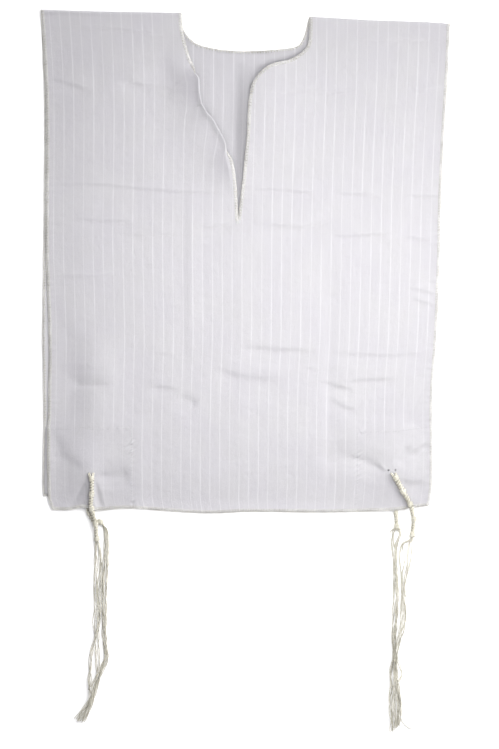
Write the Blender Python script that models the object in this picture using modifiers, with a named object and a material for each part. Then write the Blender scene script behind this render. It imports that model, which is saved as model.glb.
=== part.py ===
"""Tallit katan laid flat: one length of cotton folded at the shoulders, a neck opening with a front slit,
four corner patches inside it, and a knotted tassel through two small holes at each corner.

The part lies on the plane Z = 0. +Z points up out of the cloth, +Y from the hem to the shoulders,
and +X to the right as seen from above. The tables are in millimetres.
"""

import math
from collections import namedtuple

import bmesh
import bpy
from mathutils import Vector

MM = 0.001

# Cloth
WALL = 1.0
GAP = 0.3
FOLD_RADIUS = 1.0
PATCH_INSET_SHARE = 0.003

# The grid of a panel: shares of its width and height, with the corner patches' inner edges on a line each
PATCH_LEFT_SHARE = 0.224
PATCH_RIGHT_SHARE = 0.800
PATCH_UP_SHARE = {"front": 0.166, "back": 0.143}
PATCH_CELLS = 8
MIDDLE_CELLS = 9
FRONT_UPPER_CELLS = 32
BACK_UPPER_CELLS = 6
FOLD_CELLS = 4

# Heights of the front panel above the back one
PATCH_ROOM = 2.6
PATCH_SLOPE = 22.0
SHOULDER_RISE = 0.7
SHOULDER_REACH = 30.0
PUFF = 2.4
PUFF_REACH = 60.0
TENT = 4.6
TENT_REACH = 26.0
TENT_LAST_ROW = 4
LOOP_RAISE = 2.6
LOOP_FLAT = 12.0
LOOP_REACH = 34.0
RAISE_PASSED_ON = 0.6

# Tassels
HOLE_SPACING = 8.5
HOLE_RADIUS = 1.5
HOLE_SIDES = 10
LOOP_THREAD = 0.95
LOOP_SPARE = 0.15
LOOP_ROOT = 1.1
LOOP_LEAD = 2.6
LOOP_BEND = 0.9
CORD_SPARE = 0.25
WRAP_STEP = 3.0
WRAP_DEPTH = 0.15
STRAND_THREAD = 0.6
STRAND_FLOOR = 0.7
STRAND_LAYER = 1.7
STRAND_COLUMNS = 4
STRANDS = 8
STRAND_STEP = 17.0
ROOT_ACROSS = 0.8
ROOT_LAYER = 1.4
WAVE_LENGTH = 75.0
WAVE_WIDTH = 0.7
WAVE_START = 30.0

CLOTH_COLOUR = (0.78, 0.77, 0.82, 1.0)
PATCH_COLOUR = (0.74, 0.73, 0.78, 1.0)
TASSEL_COLOUR = (0.72, 0.67, 0.50, 1.0)

Side = namedtuple("Side", "y front_left front_right back_left back_right")
SIDES = [
    Side(-170, -237.6, 226.3, -247.5, 227.5),
    Side(-158, -242.1, 228.6, -248.2, 228.0),
    Side(-136, -243.5, 230.9, -249.4, 229.3),
    Side(-84, -243.7, 231.4, -248.5, 229.9),
    Side(-50, -242.8, 231.1, -248.2, 229.6),
    Side(-10, -242.3, 232.6, -248.8, 231.0),
    Side(38, -242.0, 236.4, -249.8, 235.0),
    Side(97, -243.7, 238.8, -249.1, 237.3),
    Side(150, -245.8, 240.8, -248.7, 239.3),
    Side(212, -245.6, 242.1, -248.2, 240.5),
    Side(270, -245.2, 244.6, -247.7, 243.0),
    Side(310, -245.2, 246.7, -247.5, 245.2),
    Side(350, -246.0, 249.2, -248.0, 247.8),
    Side(385, -247.7, 251.0, -249.4, 249.8),
    Side(447, -251.8, 253.5, -251.8, 253.5),
]

Hem = namedtuple("Hem", "x front back")
HEMS = [
    Hem(-248, -170.0, -153.5),
    Hem(-218, -170.6, -153.8),
    Hem(-200, -167.5, -153.0),
    Hem(-183, -170.6, -154.2),
    Hem(-145, -168.7, -154.5),
    Hem(-106, -171.2, -156.0),
    Hem(-48, -174.9, -158.5),
    Hem(6, -173.0, -158.0),
    Hem(104, -173.7, -160.5),
    Hem(147, -172.4, -161.5),
    Hem(184, -171.2, -162.5),
    Hem(200, -168.7, -162.0),
    Hem(225, -165.4, -161.0),
]

Shoulder = namedtuple("Shoulder", "x y")
SHOULDERS = [
    Shoulder(-252, 447.1),
    Shoulder(-179, 445.0),
    Shoulder(-79, 443.4),
    Shoulder(80, 438.8),
    Shoulder(155, 434.7),
    Shoulder(229, 432.0),
    Shoulder(253, 430.1),
]

# The cut edges of the neck, from the left shoulder round to the right one. A corner point isn't rounded.
Neck = namedtuple("Neck", "x y corner")
FRONT_NECK = [
    Neck(-78.6, 443.0, True),
    Neck(-77.9, 422.0, False),
    Neck(-68.7, 388.1, False),
    Neck(-56.3, 362.1, False),
    Neck(-54.4, 328.7, True),
    Neck(-38.4, 309.5, False),
    Neck(-23.5, 281.7, False),
    Neck(-12.7, 244.5, False),
    Neck(-8.7, 185.2, True),
    Neck(-3.7, 223.5, False),
    Neck(2.8, 289.1, False),
    Neck(8.7, 352.2, False),
    Neck(28.5, 376.4, False),
    Neck(58.8, 386.0, False),
    Neck(77.7, 402.9, False),
    Neck(80.4, 438.0, True),
]
BACK_NECK = [
    Neck(-78.6, 443.0, True),
    Neck(-75.7, 422.0, False),
    Neck(-58.6, 404.8, False),
    Neck(-11.1, 396.3, False),
    Neck(47.0, 398.8, False),
    Neck(68.1, 404.8, False),
    Neck(79.2, 436.0, True),
]
NECK_TOP = 470.0
CUTTER_DEPTH = 100.0

# Broad swells of the front panel round the neck slit
Swell = namedtuple("Swell", "x y height reach_x reach_y")
SWELLS = [
    Swell(22, 345, 6.0, 52, 66),
    Swell(-48, 318, 8.0, 44, 66),
    Swell(-14, 262, 2.5, 26, 50),
]

# What a fold keeps of its height at its ends, and the share of its length that it fades over
FOLD_END = 0.4
FOLD_FADE = 0.2

# Folds that the cloth was packed in, each a soft ridge (or, below zero, a trough) along a straight line
Fold = namedtuple("Fold", "x0 y0 x1 y1 height half_width")
FOLDS = [
    Fold(-238, 425, -80, 415, 0.8, 12),
    Fold(122, 408, 244, 408, 0.8, 12),
    Fold(-238, 361, -80, 350, 0.9, 14),
    Fold(15, 350, 246, 347, -0.8, 14),
    Fold(-238, 231, 240, 215, 1.0, 13),
    Fold(-205, 188, -20, 175, -0.8, 13),
    Fold(-4, 180, 230, 166, -0.9, 13),
    Fold(-240, 119, -145, 124, 1.0, 12),
    Fold(-172, 28, -88, 22, 0.8, 13),
    Fold(-13, 28, 230, 19, 0.9, 13),
    Fold(-238, -19, -75, -21, 1.0, 14),
    Fold(-40, 2, 90, -8, -0.9, 16),
    Fold(95, -8, 128, -34, 1.0, 12),
    Fold(-73, 425, -73, -30, 0.7, 18),
    Fold(100, 180, 100, -160, 0.7, 18),
]

Head = namedtuple("Head", "x y radius over rise")
Strand = namedtuple("Strand", "y x pitch lift")
TASSELS = {
    "front_left": {
        "panel": "front",
        "holes": (-190.0, -123.8),
        "head": [
            Head(-190.0, -127.4, 2.0, "front", 0.0),
            Head(-188.7, -134.0, 2.3, "front", 0.0),
            Head(-188.7, -144.8, 2.4, "front", 0.0),
            Head(-189.4, -156.3, 2.3, "front", 0.0),
            Head(-190.0, -165.0, 2.4, "front", 0.2),
            Head(-188.6, -171.0, 2.4, "table", 9.0),
            Head(-187.1, -177.5, 2.6, "table", 7.4),
            Head(-184.9, -186.0, 3.2, "table", 5.2),
            Head(-183.9, -193.0, 2.4, "table", 3.4),
            Head(-183.5, -204.0, 2.3, "table", 0.8),
            Head(-182.6, -209.0, 3.1, "table", 0.2),
        ],
        "strands": [
            Strand(-210.0, -182.4, 1.25, 1.1),
            Strand(-219.0, -182.9, 2.0, 0.5),
            Strand(-233.0, -183.6, 1.9, 0.0),
            Strand(-255.0, -185.0, 1.7, 0.0),
            Strand(-309.0, -185.6, 1.7, 0.0),
            Strand(-327.0, -187.0, 2.1, 0.0),
            Strand(-351.0, -190.0, 2.9, 0.6),
            Strand(-372.0, -192.6, 2.4, 2.6),
            Strand(-384.0, -194.0, 1.9, 3.4),
            Strand(-398.0, -192.5, 1.8, 3.4),
            Strand(-414.0, -194.5, 2.4, 3.4),
            Strand(-431.0, -202.0, 3.4, 3.4),
        ],
        "ends": (-427.0, 1.4),
    },
    "back_left": {
        "panel": "back",
        "holes": (-200.0, -110.0),
        "head": [
            Head(-200.0, -113.6, 1.3, "back_patch", 0.0),
            Head(-200.0, -128.0, 1.6, "back_patch", 0.0),
            Head(-198.6, -150.0, 1.7, "back_patch", 0.0),
            Head(-197.3, -158.0, 1.8, "table", 2.3),
            Head(-195.4, -168.0, 2.0, "table", 0.6),
            Head(-191.0, -178.6, 2.2, "table", 0.0),
            Head(-187.0, -184.8, 2.3, "table", 0.0),
            Head(-181.5, -185.0, 2.3, "table", 0.0),
            Head(-176.8, -186.6, 3.0, "table", 0.0),
        ],
        "strands": [
            Strand(-187.5, -176.0, 1.25, 1.0),
            Strand(-195.0, -173.0, 1.8, 0.4),
            Strand(-203.0, -171.6, 2.1, 0.0),
            Strand(-222.0, -171.6, 2.0, 0.0),
            Strand(-255.0, -173.4, 1.9, 0.0),
            Strand(-300.0, -174.6, 1.7, 0.0),
            Strand(-330.0, -175.2, 1.7, 0.0),
            Strand(-348.0, -172.6, 1.7, 0.0),
            Strand(-362.0, -176.0, 1.7, 0.0),
            Strand(-382.0, -185.6, 1.7, 0.0),
            Strand(-398.0, -191.0, 1.7, 0.0),
            Strand(-414.0, -194.3, 2.2, 0.0),
            Strand(-431.0, -200.0, 3.0, 0.0),
        ],
        "ends": (-426.0, 1.1),
    },
    "front_right": {
        "panel": "front",
        "holes": (181.3, -121.6),
        "head": [
            Head(181.5, -125.4, 2.0, "front", 0.0),
            Head(184.6, -131.0, 2.3, "front", 0.0),
            Head(191.0, -142.0, 2.4, "front", 0.0),
            Head(197.0, -152.5, 2.3, "front", 0.0),
            Head(202.4, -161.5, 2.4, "front", 0.2),
            Head(205.6, -169.5, 2.4, "table", 7.8),
            Head(206.8, -176.0, 2.3, "table", 5.4),
            Head(209.1, -183.0, 2.5, "table", 2.8),
            Head(207.9, -192.2, 2.3, "table", 0.4),
            Head(207.2, -200.0, 2.4, "table", 0.0),
            Head(206.6, -204.2, 3.1, "table", 0.0),
        ],
        "strands": [
            Strand(-205.0, 206.4, 1.25, 1.0),
            Strand(-210.0, 203.5, 2.4, 0.5),
            Strand(-216.0, 199.4, 4.4, 0.0),
            Strand(-233.0, 196.9, 3.9, 0.0),
            Strand(-246.0, 196.6, 2.4, 0.0),
            Strand(-267.0, 195.6, 1.8, 0.0),
            Strand(-300.0, 195.0, 2.1, 1.4),
            Strand(-318.0, 192.6, 2.0, 3.4),
            Strand(-342.0, 188.4, 1.8, 3.4),
            Strand(-363.0, 186.6, 1.9, 3.4),
            Strand(-388.0, 185.6, 1.8, 3.4),
            Strand(-400.0, 185.8, 2.6, 3.4),
            Strand(-430.0, 187.0, 2.7, 3.4),
        ],
        "ends": (-441.0, -1.3),
    },
    "back_right": {
        "panel": "back",
        "holes": (190.0, -117.0),
        "head": [
            Head(190.0, -120.6, 1.3, "back_patch", 0.0),
            Head(190.0, -134.0, 1.6, "back_patch", 0.0),
            Head(189.0, -150.0, 1.7, "back_patch", 0.0),
            Head(188.0, -159.5, 1.7, "back_patch", 0.0),
            Head(187.0, -168.0, 1.9, "table", 2.3),
            Head(186.6, -175.0, 2.1, "table", 0.8),
            Head(187.3, -183.0, 2.3, "table", 0.0),
            Head(187.6, -191.0, 2.4, "table", 0.0),
            Head(187.4, -194.6, 3.0, "table", 0.0),
        ],
        "strands": [
            Strand(-195.4, 187.3, 1.25, 1.0),
            Strand(-201.0, 186.3, 3.0, 0.4),
            Strand(-208.0, 185.5, 2.8, 0.0),
            Strand(-216.0, 184.2, 1.9, 0.0),
            Strand(-233.0, 184.4, 1.8, 0.0),
            Strand(-267.0, 185.2, 1.9, 0.0),
            Strand(-303.0, 184.4, 1.7, 0.0),
            Strand(-332.0, 184.9, 1.8, 0.0),
            Strand(-353.0, 184.5, 1.9, 0.0),
            Strand(-373.0, 184.2, 2.3, 0.0),
            Strand(-388.0, 184.8, 1.8, 0.0),
            Strand(-400.0, 184.8, 2.5, 0.0),
            Strand(-430.0, 186.0, 2.6, 0.0),
        ],
        "ends": (-441.0, -1.4),
    },
}
STRAY_STRAND = {"tassel": "front_right", "number": 7, "from_y": -412.0, "reach": 16.0, "bend": 40.0, "short": 9.0}


def smooth(share):
    """0 to 1 with level ends, for a share that may run past them."""
    share = min(max(share, 0.0), 1.0)
    return share * share * (3 - 2 * share)


def mix(a, b, share):
    return a + (b - a) * share


def value_at(rows, key, column, at):
    """A table's column at a place along its key column, on one smooth curve through the rows."""
    rows = sorted(rows, key=lambda row: getattr(row, key))
    keys = [getattr(row, key) for row in rows]
    values = [getattr(row, column) for row in rows]
    if at <= keys[0]:
        return values[0]
    if at >= keys[-1]:
        return values[-1]
    i = max(n for n in range(len(rows) - 1) if keys[n] <= at)
    before = max(i - 1, 0)
    after = min(i + 2, len(rows) - 1)
    span = keys[i + 1] - keys[i]
    leave = (values[i + 1] - values[before]) / (keys[i + 1] - keys[before]) * span
    arrive = (values[after] - values[i]) / (keys[after] - keys[i]) * span
    t = (at - keys[i]) / span
    ease = t * t * (3 - 2 * t)
    return mix(values[i], values[i + 1], ease) + t * (1 - t) * ((1 - t) * leave - t * arrive)


def distance_to_line(x, y, x0, y0, x1, y1):
    """How far a point is from a straight line between two points, and its share along it."""
    length = math.hypot(x1 - x0, y1 - y0)
    along = ((x - x0) * (x1 - x0) + (y - y0) * (y1 - y0)) / length
    share = min(max(along / length, 0.0), 1.0)
    return math.hypot(x - mix(x0, x1, share), y - mix(y0, y1, share)), share


def bell(distance, reach):
    return math.exp(-((distance / reach) ** 2))


def shoulder_y(x):
    """Where a panel's flat part meets the round of the fold."""
    return value_at(SHOULDERS, "x", "y", x) - WALL / 2 - FOLD_RADIUS


def side_x(panel, hand, y):
    return value_at(SIDES, "y", panel + "_" + hand, y)


def hem_y(panel, x):
    return value_at(HEMS, "x", panel, x)


def place(panel, across, up):
    """The plan point of a panel at its shares from left to right and from hem to shoulder."""
    level = mix(hem_y(panel, 0), shoulder_y(0), up)
    x = mix(side_x(panel, "left", level), side_x(panel, "right", level), across)
    top = shoulder_y(x) - (GAP if panel == "back" else 0)
    y = mix(hem_y(panel, x), top, up)
    return mix(side_x(panel, "left", y), side_x(panel, "right", y), across), y


def back_under(x, y):
    """Height of the back panel's underside: on the table, but for the loops of the back tassels."""
    height = 0.0
    for tassel in TASSELS.values():
        if tassel["panel"] == "back":
            hole_x, hole_y = tassel["holes"]
            away = math.hypot(x - hole_x, y - hole_y)
            height = max(height, LOOP_RAISE * (1 - smooth((away - LOOP_FLAT) / (LOOP_REACH - LOOP_FLAT))))
    return height


def patch_share(x, y):
    """1 over the corner patches and 0 away from them."""
    left_edge = place("front", PATCH_LEFT_SHARE, 0)[0]
    right_edge = place("front", PATCH_RIGHT_SHARE, 0)[0]
    top_edge = place("front", 0.5, PATCH_UP_SHARE["front"])[1]
    inward = min(x - left_edge, right_edge - x)
    return (1 - smooth(inward / PATCH_SLOPE)) * (1 - smooth((y - top_edge) / PATCH_SLOPE))


def fold_rise(x, y):
    """What the packing folds add to the front panel."""
    rise = 0.0
    for fold in FOLDS:
        away, share = distance_to_line(x, y, fold.x0, fold.y0, fold.x1, fold.y1)
        fade = mix(FOLD_END, 1, smooth(min(share, 1 - share) / FOLD_FADE))
        rise += fold.height * bell(away, fold.half_width) * fade
    return rise


def front_under(x, y):
    """Height of the front panel's underside: over the back panel, the patches and the back tassels' cords."""
    inward = min(x - side_x("front", "left", y), side_x("front", "right", y) - x)
    upward = min(y - hem_y("front", x), shoulder_y(x) - y)
    loose = smooth(inward / PUFF_REACH) * smooth(upward / PUFF_REACH)
    height = WALL + GAP + RAISE_PASSED_ON * back_under(x, y)
    height += PATCH_ROOM * patch_share(x, y)
    height += SHOULDER_RISE * (1 - smooth((shoulder_y(x) - y) / SHOULDER_REACH))
    free = PUFF
    for swell in SWELLS:
        free += swell.height * bell((x - swell.x) / swell.reach_x, 1) * bell((y - swell.y) / swell.reach_y, 1)
    height += loose * max(free + fold_rise(x, y), 0.0)
    for tassel in TASSELS.values():
        if tassel["panel"] == "back":
            start = tassel["head"][0]
            end = tassel["head"][TENT_LAST_ROW]
            away = distance_to_line(x, y, start.x, start.y, end.x, end.y)[0]
            height += TENT * bell(away, TENT_REACH)
    return height


def surface_top(over, x, y):
    """Height of what a tassel's cord lies on."""
    if over == "front":
        return front_under(x, y) + WALL
    if over == "back_patch":
        return back_under(x, y) + 2 * WALL + GAP
    return 0.0


def stations(*runs):
    """Shares along a side: each run is (end share, number of cells), starting from 0."""
    shares = [0.0]
    for end, cells in runs:
        start = shares[-1]
        shares += [mix(start, end, (n + 1) / cells) for n in range(cells)]
    return shares


ACROSS = stations((PATCH_LEFT_SHARE, PATCH_CELLS), (PATCH_RIGHT_SHARE, MIDDLE_CELLS), (1.0, PATCH_CELLS))
FRONT_UP = stations((PATCH_UP_SHARE["front"], PATCH_CELLS), (1.0, FRONT_UPPER_CELLS))
BACK_UP = stations((PATCH_UP_SHARE["back"], PATCH_CELLS), (1.0, BACK_UPPER_CELLS))


def front_point(across, up):
    """A point of the front panel's middle surface. A share up past 1 runs round the shoulder fold."""
    x, y = place("front", across, min(up, 1.0))
    middle = front_under(x, y) + WALL / 2
    if up <= 1.0:
        return Vector((x, y, middle))
    turn = math.pi * (up - 1.0)
    drop = (middle - WALL / 2) / 2
    return Vector((x, y + FOLD_RADIUS * math.sin(turn), middle - drop + drop * math.cos(turn)))


def back_point(across, up):
    x, y = place("back", across, up)
    return Vector((x, y, back_under(x, y) + WALL / 2))


def new_material(name, colour, roughness):
    material = bpy.data.materials.new(name)
    material.use_nodes = True
    shader = material.node_tree.nodes["Principled BSDF"]
    shader.inputs["Base Color"].default_value = colour
    shader.inputs["Roughness"].default_value = roughness
    material.diffuse_color = colour
    return material


def clear_scene():
    for obj in list(bpy.data.objects):
        bpy.data.objects.remove(obj, do_unlink=True)


def new_collection(name):
    collection = bpy.data.collections.new(name)
    bpy.context.scene.collection.children.link(collection)
    return collection


def new_object(name, data, collection, material=None):
    obj = bpy.data.objects.new(name, data)
    collection.objects.link(obj)
    if material:
        data.materials.append(material)
    return obj


def hide_helper(obj):
    obj.hide_render = True
    obj.display_type = "WIRE"
    return obj


def wall(name, columns, rows, point, collection, material):
    """A cloth wall over a grid whose corners point(across, up) places."""
    bm = bmesh.new()
    bmesh.ops.create_grid(bm, x_segments=len(columns) - 1, y_segments=len(rows) - 1, size=0.5)
    for vert in bm.verts:
        column = round((vert.co.x + 0.5) * (len(columns) - 1))
        row = round((vert.co.y + 0.5) * (len(rows) - 1))
        vert.co = point(columns[column], rows[row]) * MM
    mesh = bpy.data.meshes.new(name)
    bm.to_mesh(mesh)
    bm.free()
    obj = new_object(name, mesh, collection, material)
    mesh.shade_smooth()
    solidify = obj.modifiers.new("Wall", "SOLIDIFY")
    solidify.thickness = WALL * MM
    solidify.offset = 0.0
    solidify.use_even_offset = True
    return obj


def cut(obj, cutter):
    boolean = obj.modifiers.new("Cut " + cutter.name, "BOOLEAN")
    boolean.operation = "DIFFERENCE"
    boolean.solver = "EXACT"
    boolean.object = cutter


def mesh_from_curve(curve_object, name, collection):
    """The curve's mesh with its caps welded, in place of the curve."""
    bpy.context.view_layer.update()
    evaluated = curve_object.evaluated_get(bpy.context.evaluated_depsgraph_get())
    mesh = bpy.data.meshes.new_from_object(evaluated)
    bm = bmesh.new()
    bm.from_mesh(mesh)
    bmesh.ops.remove_doubles(bm, verts=bm.verts, dist=0.01 * MM)
    bmesh.ops.recalc_face_normals(bm, faces=bm.faces)
    bm.to_mesh(mesh)
    bm.free()
    mesh.materials.clear()
    obj = new_object(name, mesh, collection)
    obj.matrix_world = curve_object.matrix_world
    bpy.data.objects.remove(curve_object, do_unlink=True)
    return obj


def neck_cutter(name, edge, collection):
    """A prism with the neck's cut edge, open past the shoulders."""
    curve = bpy.data.curves.new(name + "_outline", "CURVE")
    curve.dimensions = "2D"
    curve.fill_mode = "BOTH"
    curve.extrude = CUTTER_DEPTH / 2 * MM
    curve.resolution_u = 4
    outline = [Neck(edge[0].x, NECK_TOP, True), *edge, Neck(edge[-1].x, NECK_TOP, True)]
    spline = curve.splines.new("BEZIER")
    spline.bezier_points.add(len(outline) - 1)
    spline.use_cyclic_u = True
    for point, row in zip(spline.bezier_points, outline):
        point.co = Vector((row.x, row.y, 0)) * MM
        point.handle_left_type = "VECTOR" if row.corner else "AUTO"
        point.handle_right_type = "VECTOR" if row.corner else "AUTO"
    outline_object = new_object(name + "_outline", curve, collection)
    return hide_helper(mesh_from_curve(outline_object, name, collection))


def hole_places(tassel):
    x, y = tassel["holes"]
    return (x - HOLE_SPACING / 2, y), (x + HOLE_SPACING / 2, y)


def hole_cutter(name, panel, collection):
    """Upright rods through both holes of each corner of a panel."""
    bm = bmesh.new()
    for tassel in TASSELS.values():
        if tassel["panel"] != panel:
            continue
        for x, y in hole_places(tassel):
            made = bmesh.ops.create_cone(
                bm,
                cap_ends=True,
                segments=HOLE_SIDES,
                radius1=HOLE_RADIUS * MM,
                radius2=HOLE_RADIUS * MM,
                depth=CUTTER_DEPTH * MM,
            )
            bmesh.ops.translate(bm, verts=made["verts"], vec=Vector((x, y, 0)) * MM)
    mesh = bpy.data.meshes.new(name)
    bm.to_mesh(mesh)
    bm.free()
    return hide_helper(new_object(name, mesh, collection))


def thread_curve(name, lines, depth, sides, collection):
    """Round threads along lines of (point, radius), with filled ends."""
    curve = bpy.data.curves.new(name, "CURVE")
    curve.dimensions = "3D"
    curve.bevel_depth = depth * MM
    curve.bevel_resolution = (sides - 4) // 2
    curve.use_fill_caps = True
    for line in lines:
        spline = curve.splines.new("POLY")
        spline.points.add(len(line) - 1)
        for point, (place_at, radius) in zip(spline.points, line):
            point.co = (*(place_at * MM), 1.0)
            point.radius = radius
    return new_object(name, curve, collection)


def head_line(tassel):
    """The wound cord's line with its radii: even steps along the rows, each step a turn of the winding."""
    rows = tassel["head"]
    corners = []
    for row in rows:
        z = surface_top(row.over, row.x, row.y) + GAP + CORD_SPARE + row.radius + row.rise
        corners.append((Vector((row.x, row.y, z)), row.radius))
    Station = namedtuple("Station", "s x y z radius")
    run = 0.0
    table = []
    for n, (corner, radius) in enumerate(corners):
        if n:
            run += (corner - corners[n - 1][0]).length
        table.append(Station(run, corner.x, corner.y, corner.z, radius))
    steps = max(2, round(run / WRAP_STEP))
    line = []
    for n in range(steps + 1):
        s = run * n / steps
        point = Vector([value_at(table, "s", axis, s) for axis in "xyz"])
        wrap = WRAP_DEPTH * (1 if n % 2 else -1)
        line.append((point, value_at(table, "s", "radius", s) + wrap))
    return line


def loop_line(tassel):
    """The threads' loop: out of the cord, down one hole, under the cloth and up the other."""
    start = head_line(tassel)[0][0]
    legs = []
    for sign, (x, y) in zip((-1, 1), hole_places(tassel)):
        if tassel["panel"] == "front":
            above = front_under(x, y) + WALL
            below = front_under(x, y) - WALL - 2 * GAP - LOOP_THREAD - LOOP_SPARE
        else:
            above = back_under(x, y) + 2 * WALL + GAP
            below = GAP + LOOP_THREAD
        over = above + GAP + LOOP_THREAD + LOOP_SPARE
        leave = Vector((start.x + sign * LOOP_ROOT, start.y - 0.4, start.z))
        toward = Vector((x - leave.x, y - leave.y, 0)).normalized()
        hole = Vector((x, y, 0))
        legs.append(
            [
                leave,
                hole - toward * LOOP_LEAD + Vector((0, 0, mix(over, start.z, 0.3))),
                hole - toward * LOOP_BEND + Vector((0, 0, over)),
                hole + Vector((0, 0, above + GAP)),
                hole + Vector((0, 0, below + LOOP_BEND)),
                hole + Vector((-sign * LOOP_BEND, 0, below)),
            ]
        )
    points = legs[0] + legs[1][::-1]
    return [(point, LOOP_THREAD) for point in points]


def strand_line(key, number):
    """One hanging thread's line: its place in the bundle, eased through the bundle's table."""
    tassel = TASSELS[key]
    rows = tassel["strands"]
    column = number % STRAND_COLUMNS - (STRAND_COLUMNS - 1) / 2
    layer = number // STRAND_COLUMNS
    last_end, step = tassel["ends"]
    top = rows[0].y
    bottom = last_end + step * (number % STRAND_COLUMNS) + 2.0 * layer
    stray = STRAY_STRAND["tassel"] == key and STRAY_STRAND["number"] == number
    if stray:
        bottom += STRAY_STRAND["short"]
    cells = round((top - bottom) / STRAND_STEP)
    knot = head_line(tassel)
    root = knot[-1][0].lerp(knot[-2][0], 0.4)
    line = [(root + Vector((column * ROOT_ACROSS, 0, (layer - 0.5) * ROOT_LAYER)), STRAND_THREAD)]
    for n in range(cells + 1):
        y = mix(top, bottom, n / cells)
        x = value_at(rows, "y", "x", y) + column * value_at(rows, "y", "pitch", y)
        x += WAVE_WIDTH * smooth((top - y) / WAVE_START) * math.sin((top - y) / WAVE_LENGTH * 2 * math.pi)
        if stray:
            x += STRAY_STRAND["reach"] * smooth((STRAY_STRAND["from_y"] - y) / STRAY_STRAND["bend"])
        z = STRAND_FLOOR + STRAND_THREAD + STRAND_LAYER * layer + value_at(rows, "y", "lift", y)
        line.append((Vector((x, y, z)), STRAND_THREAD))
    return line


def add_tassel(key, part, helpers, material):
    """A wound cord with its loop through the holes and eight hanging threads, fused into one solid."""
    name = "tassel_" + key
    tassel = TASSELS[key]
    cord = thread_curve(name + "_cord", [head_line(tassel)], 1.0, 8, helpers)
    head = mesh_from_curve(cord, name, part)
    head.data.materials.append(material)
    head.data.shade_smooth()
    lines = [loop_line(tassel)] + [strand_line(key, n) for n in range(STRANDS)]
    threads_curve = thread_curve(name + "_threads_curve", lines, 1.0, 4, helpers)
    threads = hide_helper(mesh_from_curve(threads_curve, name + "_threads", helpers))
    join = head.modifiers.new("Threads", "BOOLEAN")
    join.operation = "UNION"
    join.solver = "EXACT"
    join.use_self = True
    join.object = threads


def add_patch(name, panel, columns, material, part, cutter):
    """A square of cloth inside a panel's corner, made from the panel's own grid and moved off it."""
    point = front_point if panel == "front" else back_point
    away = Vector((0, 0, -(WALL + GAP) if panel == "front" else WALL + GAP))
    rows = (FRONT_UP if panel == "front" else BACK_UP)[: PATCH_CELLS + 1]

    def patch_point(across, up):
        across = min(max(across, PATCH_INSET_SHARE), 1 - PATCH_INSET_SHARE)
        return point(across, max(up, PATCH_INSET_SHARE)) + away

    patch = wall(name, columns, rows, patch_point, part, material)
    cut(patch, cutter)


def main():
    clear_scene()
    part = new_collection("tallit_katan")
    helpers = new_collection("cutters_and_threads")
    cloth = new_material("cotton_cloth", CLOTH_COLOUR, 0.85)
    lining = new_material("cotton_patch", PATCH_COLOUR, 0.85)
    ecru = new_material("tassel_thread", TASSEL_COLOUR, 0.75)

    front_up = FRONT_UP + [1.0 + (n + 1) / FOLD_CELLS for n in range(FOLD_CELLS)]
    front = wall("front_panel", ACROSS, front_up, front_point, part, cloth)
    back = wall("back_panel", ACROSS, BACK_UP, back_point, part, cloth)
    front_holes = hole_cutter("front_hole_cutter", "front", helpers)
    back_holes = hole_cutter("back_hole_cutter", "back", helpers)
    cut(front, neck_cutter("front_neck_cutter", FRONT_NECK, helpers))
    cut(back, neck_cutter("back_neck_cutter", BACK_NECK, helpers))
    cut(front, front_holes)
    cut(back, back_holes)

    left_columns = ACROSS[: PATCH_CELLS + 1]
    right_columns = ACROSS[-PATCH_CELLS - 1 :]
    add_patch("patch_front_left", "front", left_columns, lining, part, front_holes)
    add_patch("patch_front_right", "front", right_columns, lining, part, front_holes)
    add_patch("patch_back_left", "back", left_columns, lining, part, back_holes)
    add_patch("patch_back_right", "back", right_columns, lining, part, back_holes)
    for key in TASSELS:
        add_tassel(key, part, helpers, ecru)


main()
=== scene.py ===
import math
import random

import bmesh
import bpy
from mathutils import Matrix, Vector, kdtree, noise


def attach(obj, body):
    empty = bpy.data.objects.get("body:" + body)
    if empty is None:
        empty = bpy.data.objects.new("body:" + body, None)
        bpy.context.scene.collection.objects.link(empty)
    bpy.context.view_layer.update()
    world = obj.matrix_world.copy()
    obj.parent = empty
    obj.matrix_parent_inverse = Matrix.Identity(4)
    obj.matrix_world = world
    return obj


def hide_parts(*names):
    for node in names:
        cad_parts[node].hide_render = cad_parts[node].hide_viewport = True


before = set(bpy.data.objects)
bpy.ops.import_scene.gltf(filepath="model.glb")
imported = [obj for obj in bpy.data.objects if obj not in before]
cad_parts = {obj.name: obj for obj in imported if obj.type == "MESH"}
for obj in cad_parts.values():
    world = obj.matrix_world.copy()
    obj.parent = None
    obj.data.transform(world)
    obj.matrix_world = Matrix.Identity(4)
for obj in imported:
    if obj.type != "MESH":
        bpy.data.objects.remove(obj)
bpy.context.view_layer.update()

mm = 0.001
up = Vector((0, 0, 1))


# small helpers

def mix(a, b, share):
    return a + (b - a) * share


def smooth(share):
    share = min(max(share, 0.0), 1.0)
    return share * share * (3 - 2 * share)


def bell(distance, reach):
    return math.exp(-((distance / reach) ** 2))


def readTable(table, column, at):
    # a table's column at a place along its first column, on one smooth curve through the rows
    rows = table["rows"]
    c = table["columns"].index(column)
    if at <= rows[0][0]:
        return rows[0][c]
    if at >= rows[-1][0]:
        return rows[-1][c]
    i = 0
    while rows[i + 1][0] < at:
        i += 1
    before = rows[max(i - 1, 0)]
    after = rows[min(i + 2, len(rows) - 1)]
    here, there = rows[i], rows[i + 1]
    span = there[0] - here[0]
    leave = (there[c] - before[c]) / (there[0] - before[0]) * span
    arrive = (after[c] - here[c]) / (after[0] - here[0]) * span
    t = (at - here[0]) / span
    eased = mix(here[c], there[c], t * t * (3 - 2 * t))
    return eased + t * (1 - t) * ((1 - t) * leave - t * arrive)


def runsAlong(points):
    # how far along its line each point is
    runs = [0.0]
    for a, b in zip(points, points[1:]):
        runs.append(runs[-1] + max((b - a).length, 0.001))
    return runs


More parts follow.
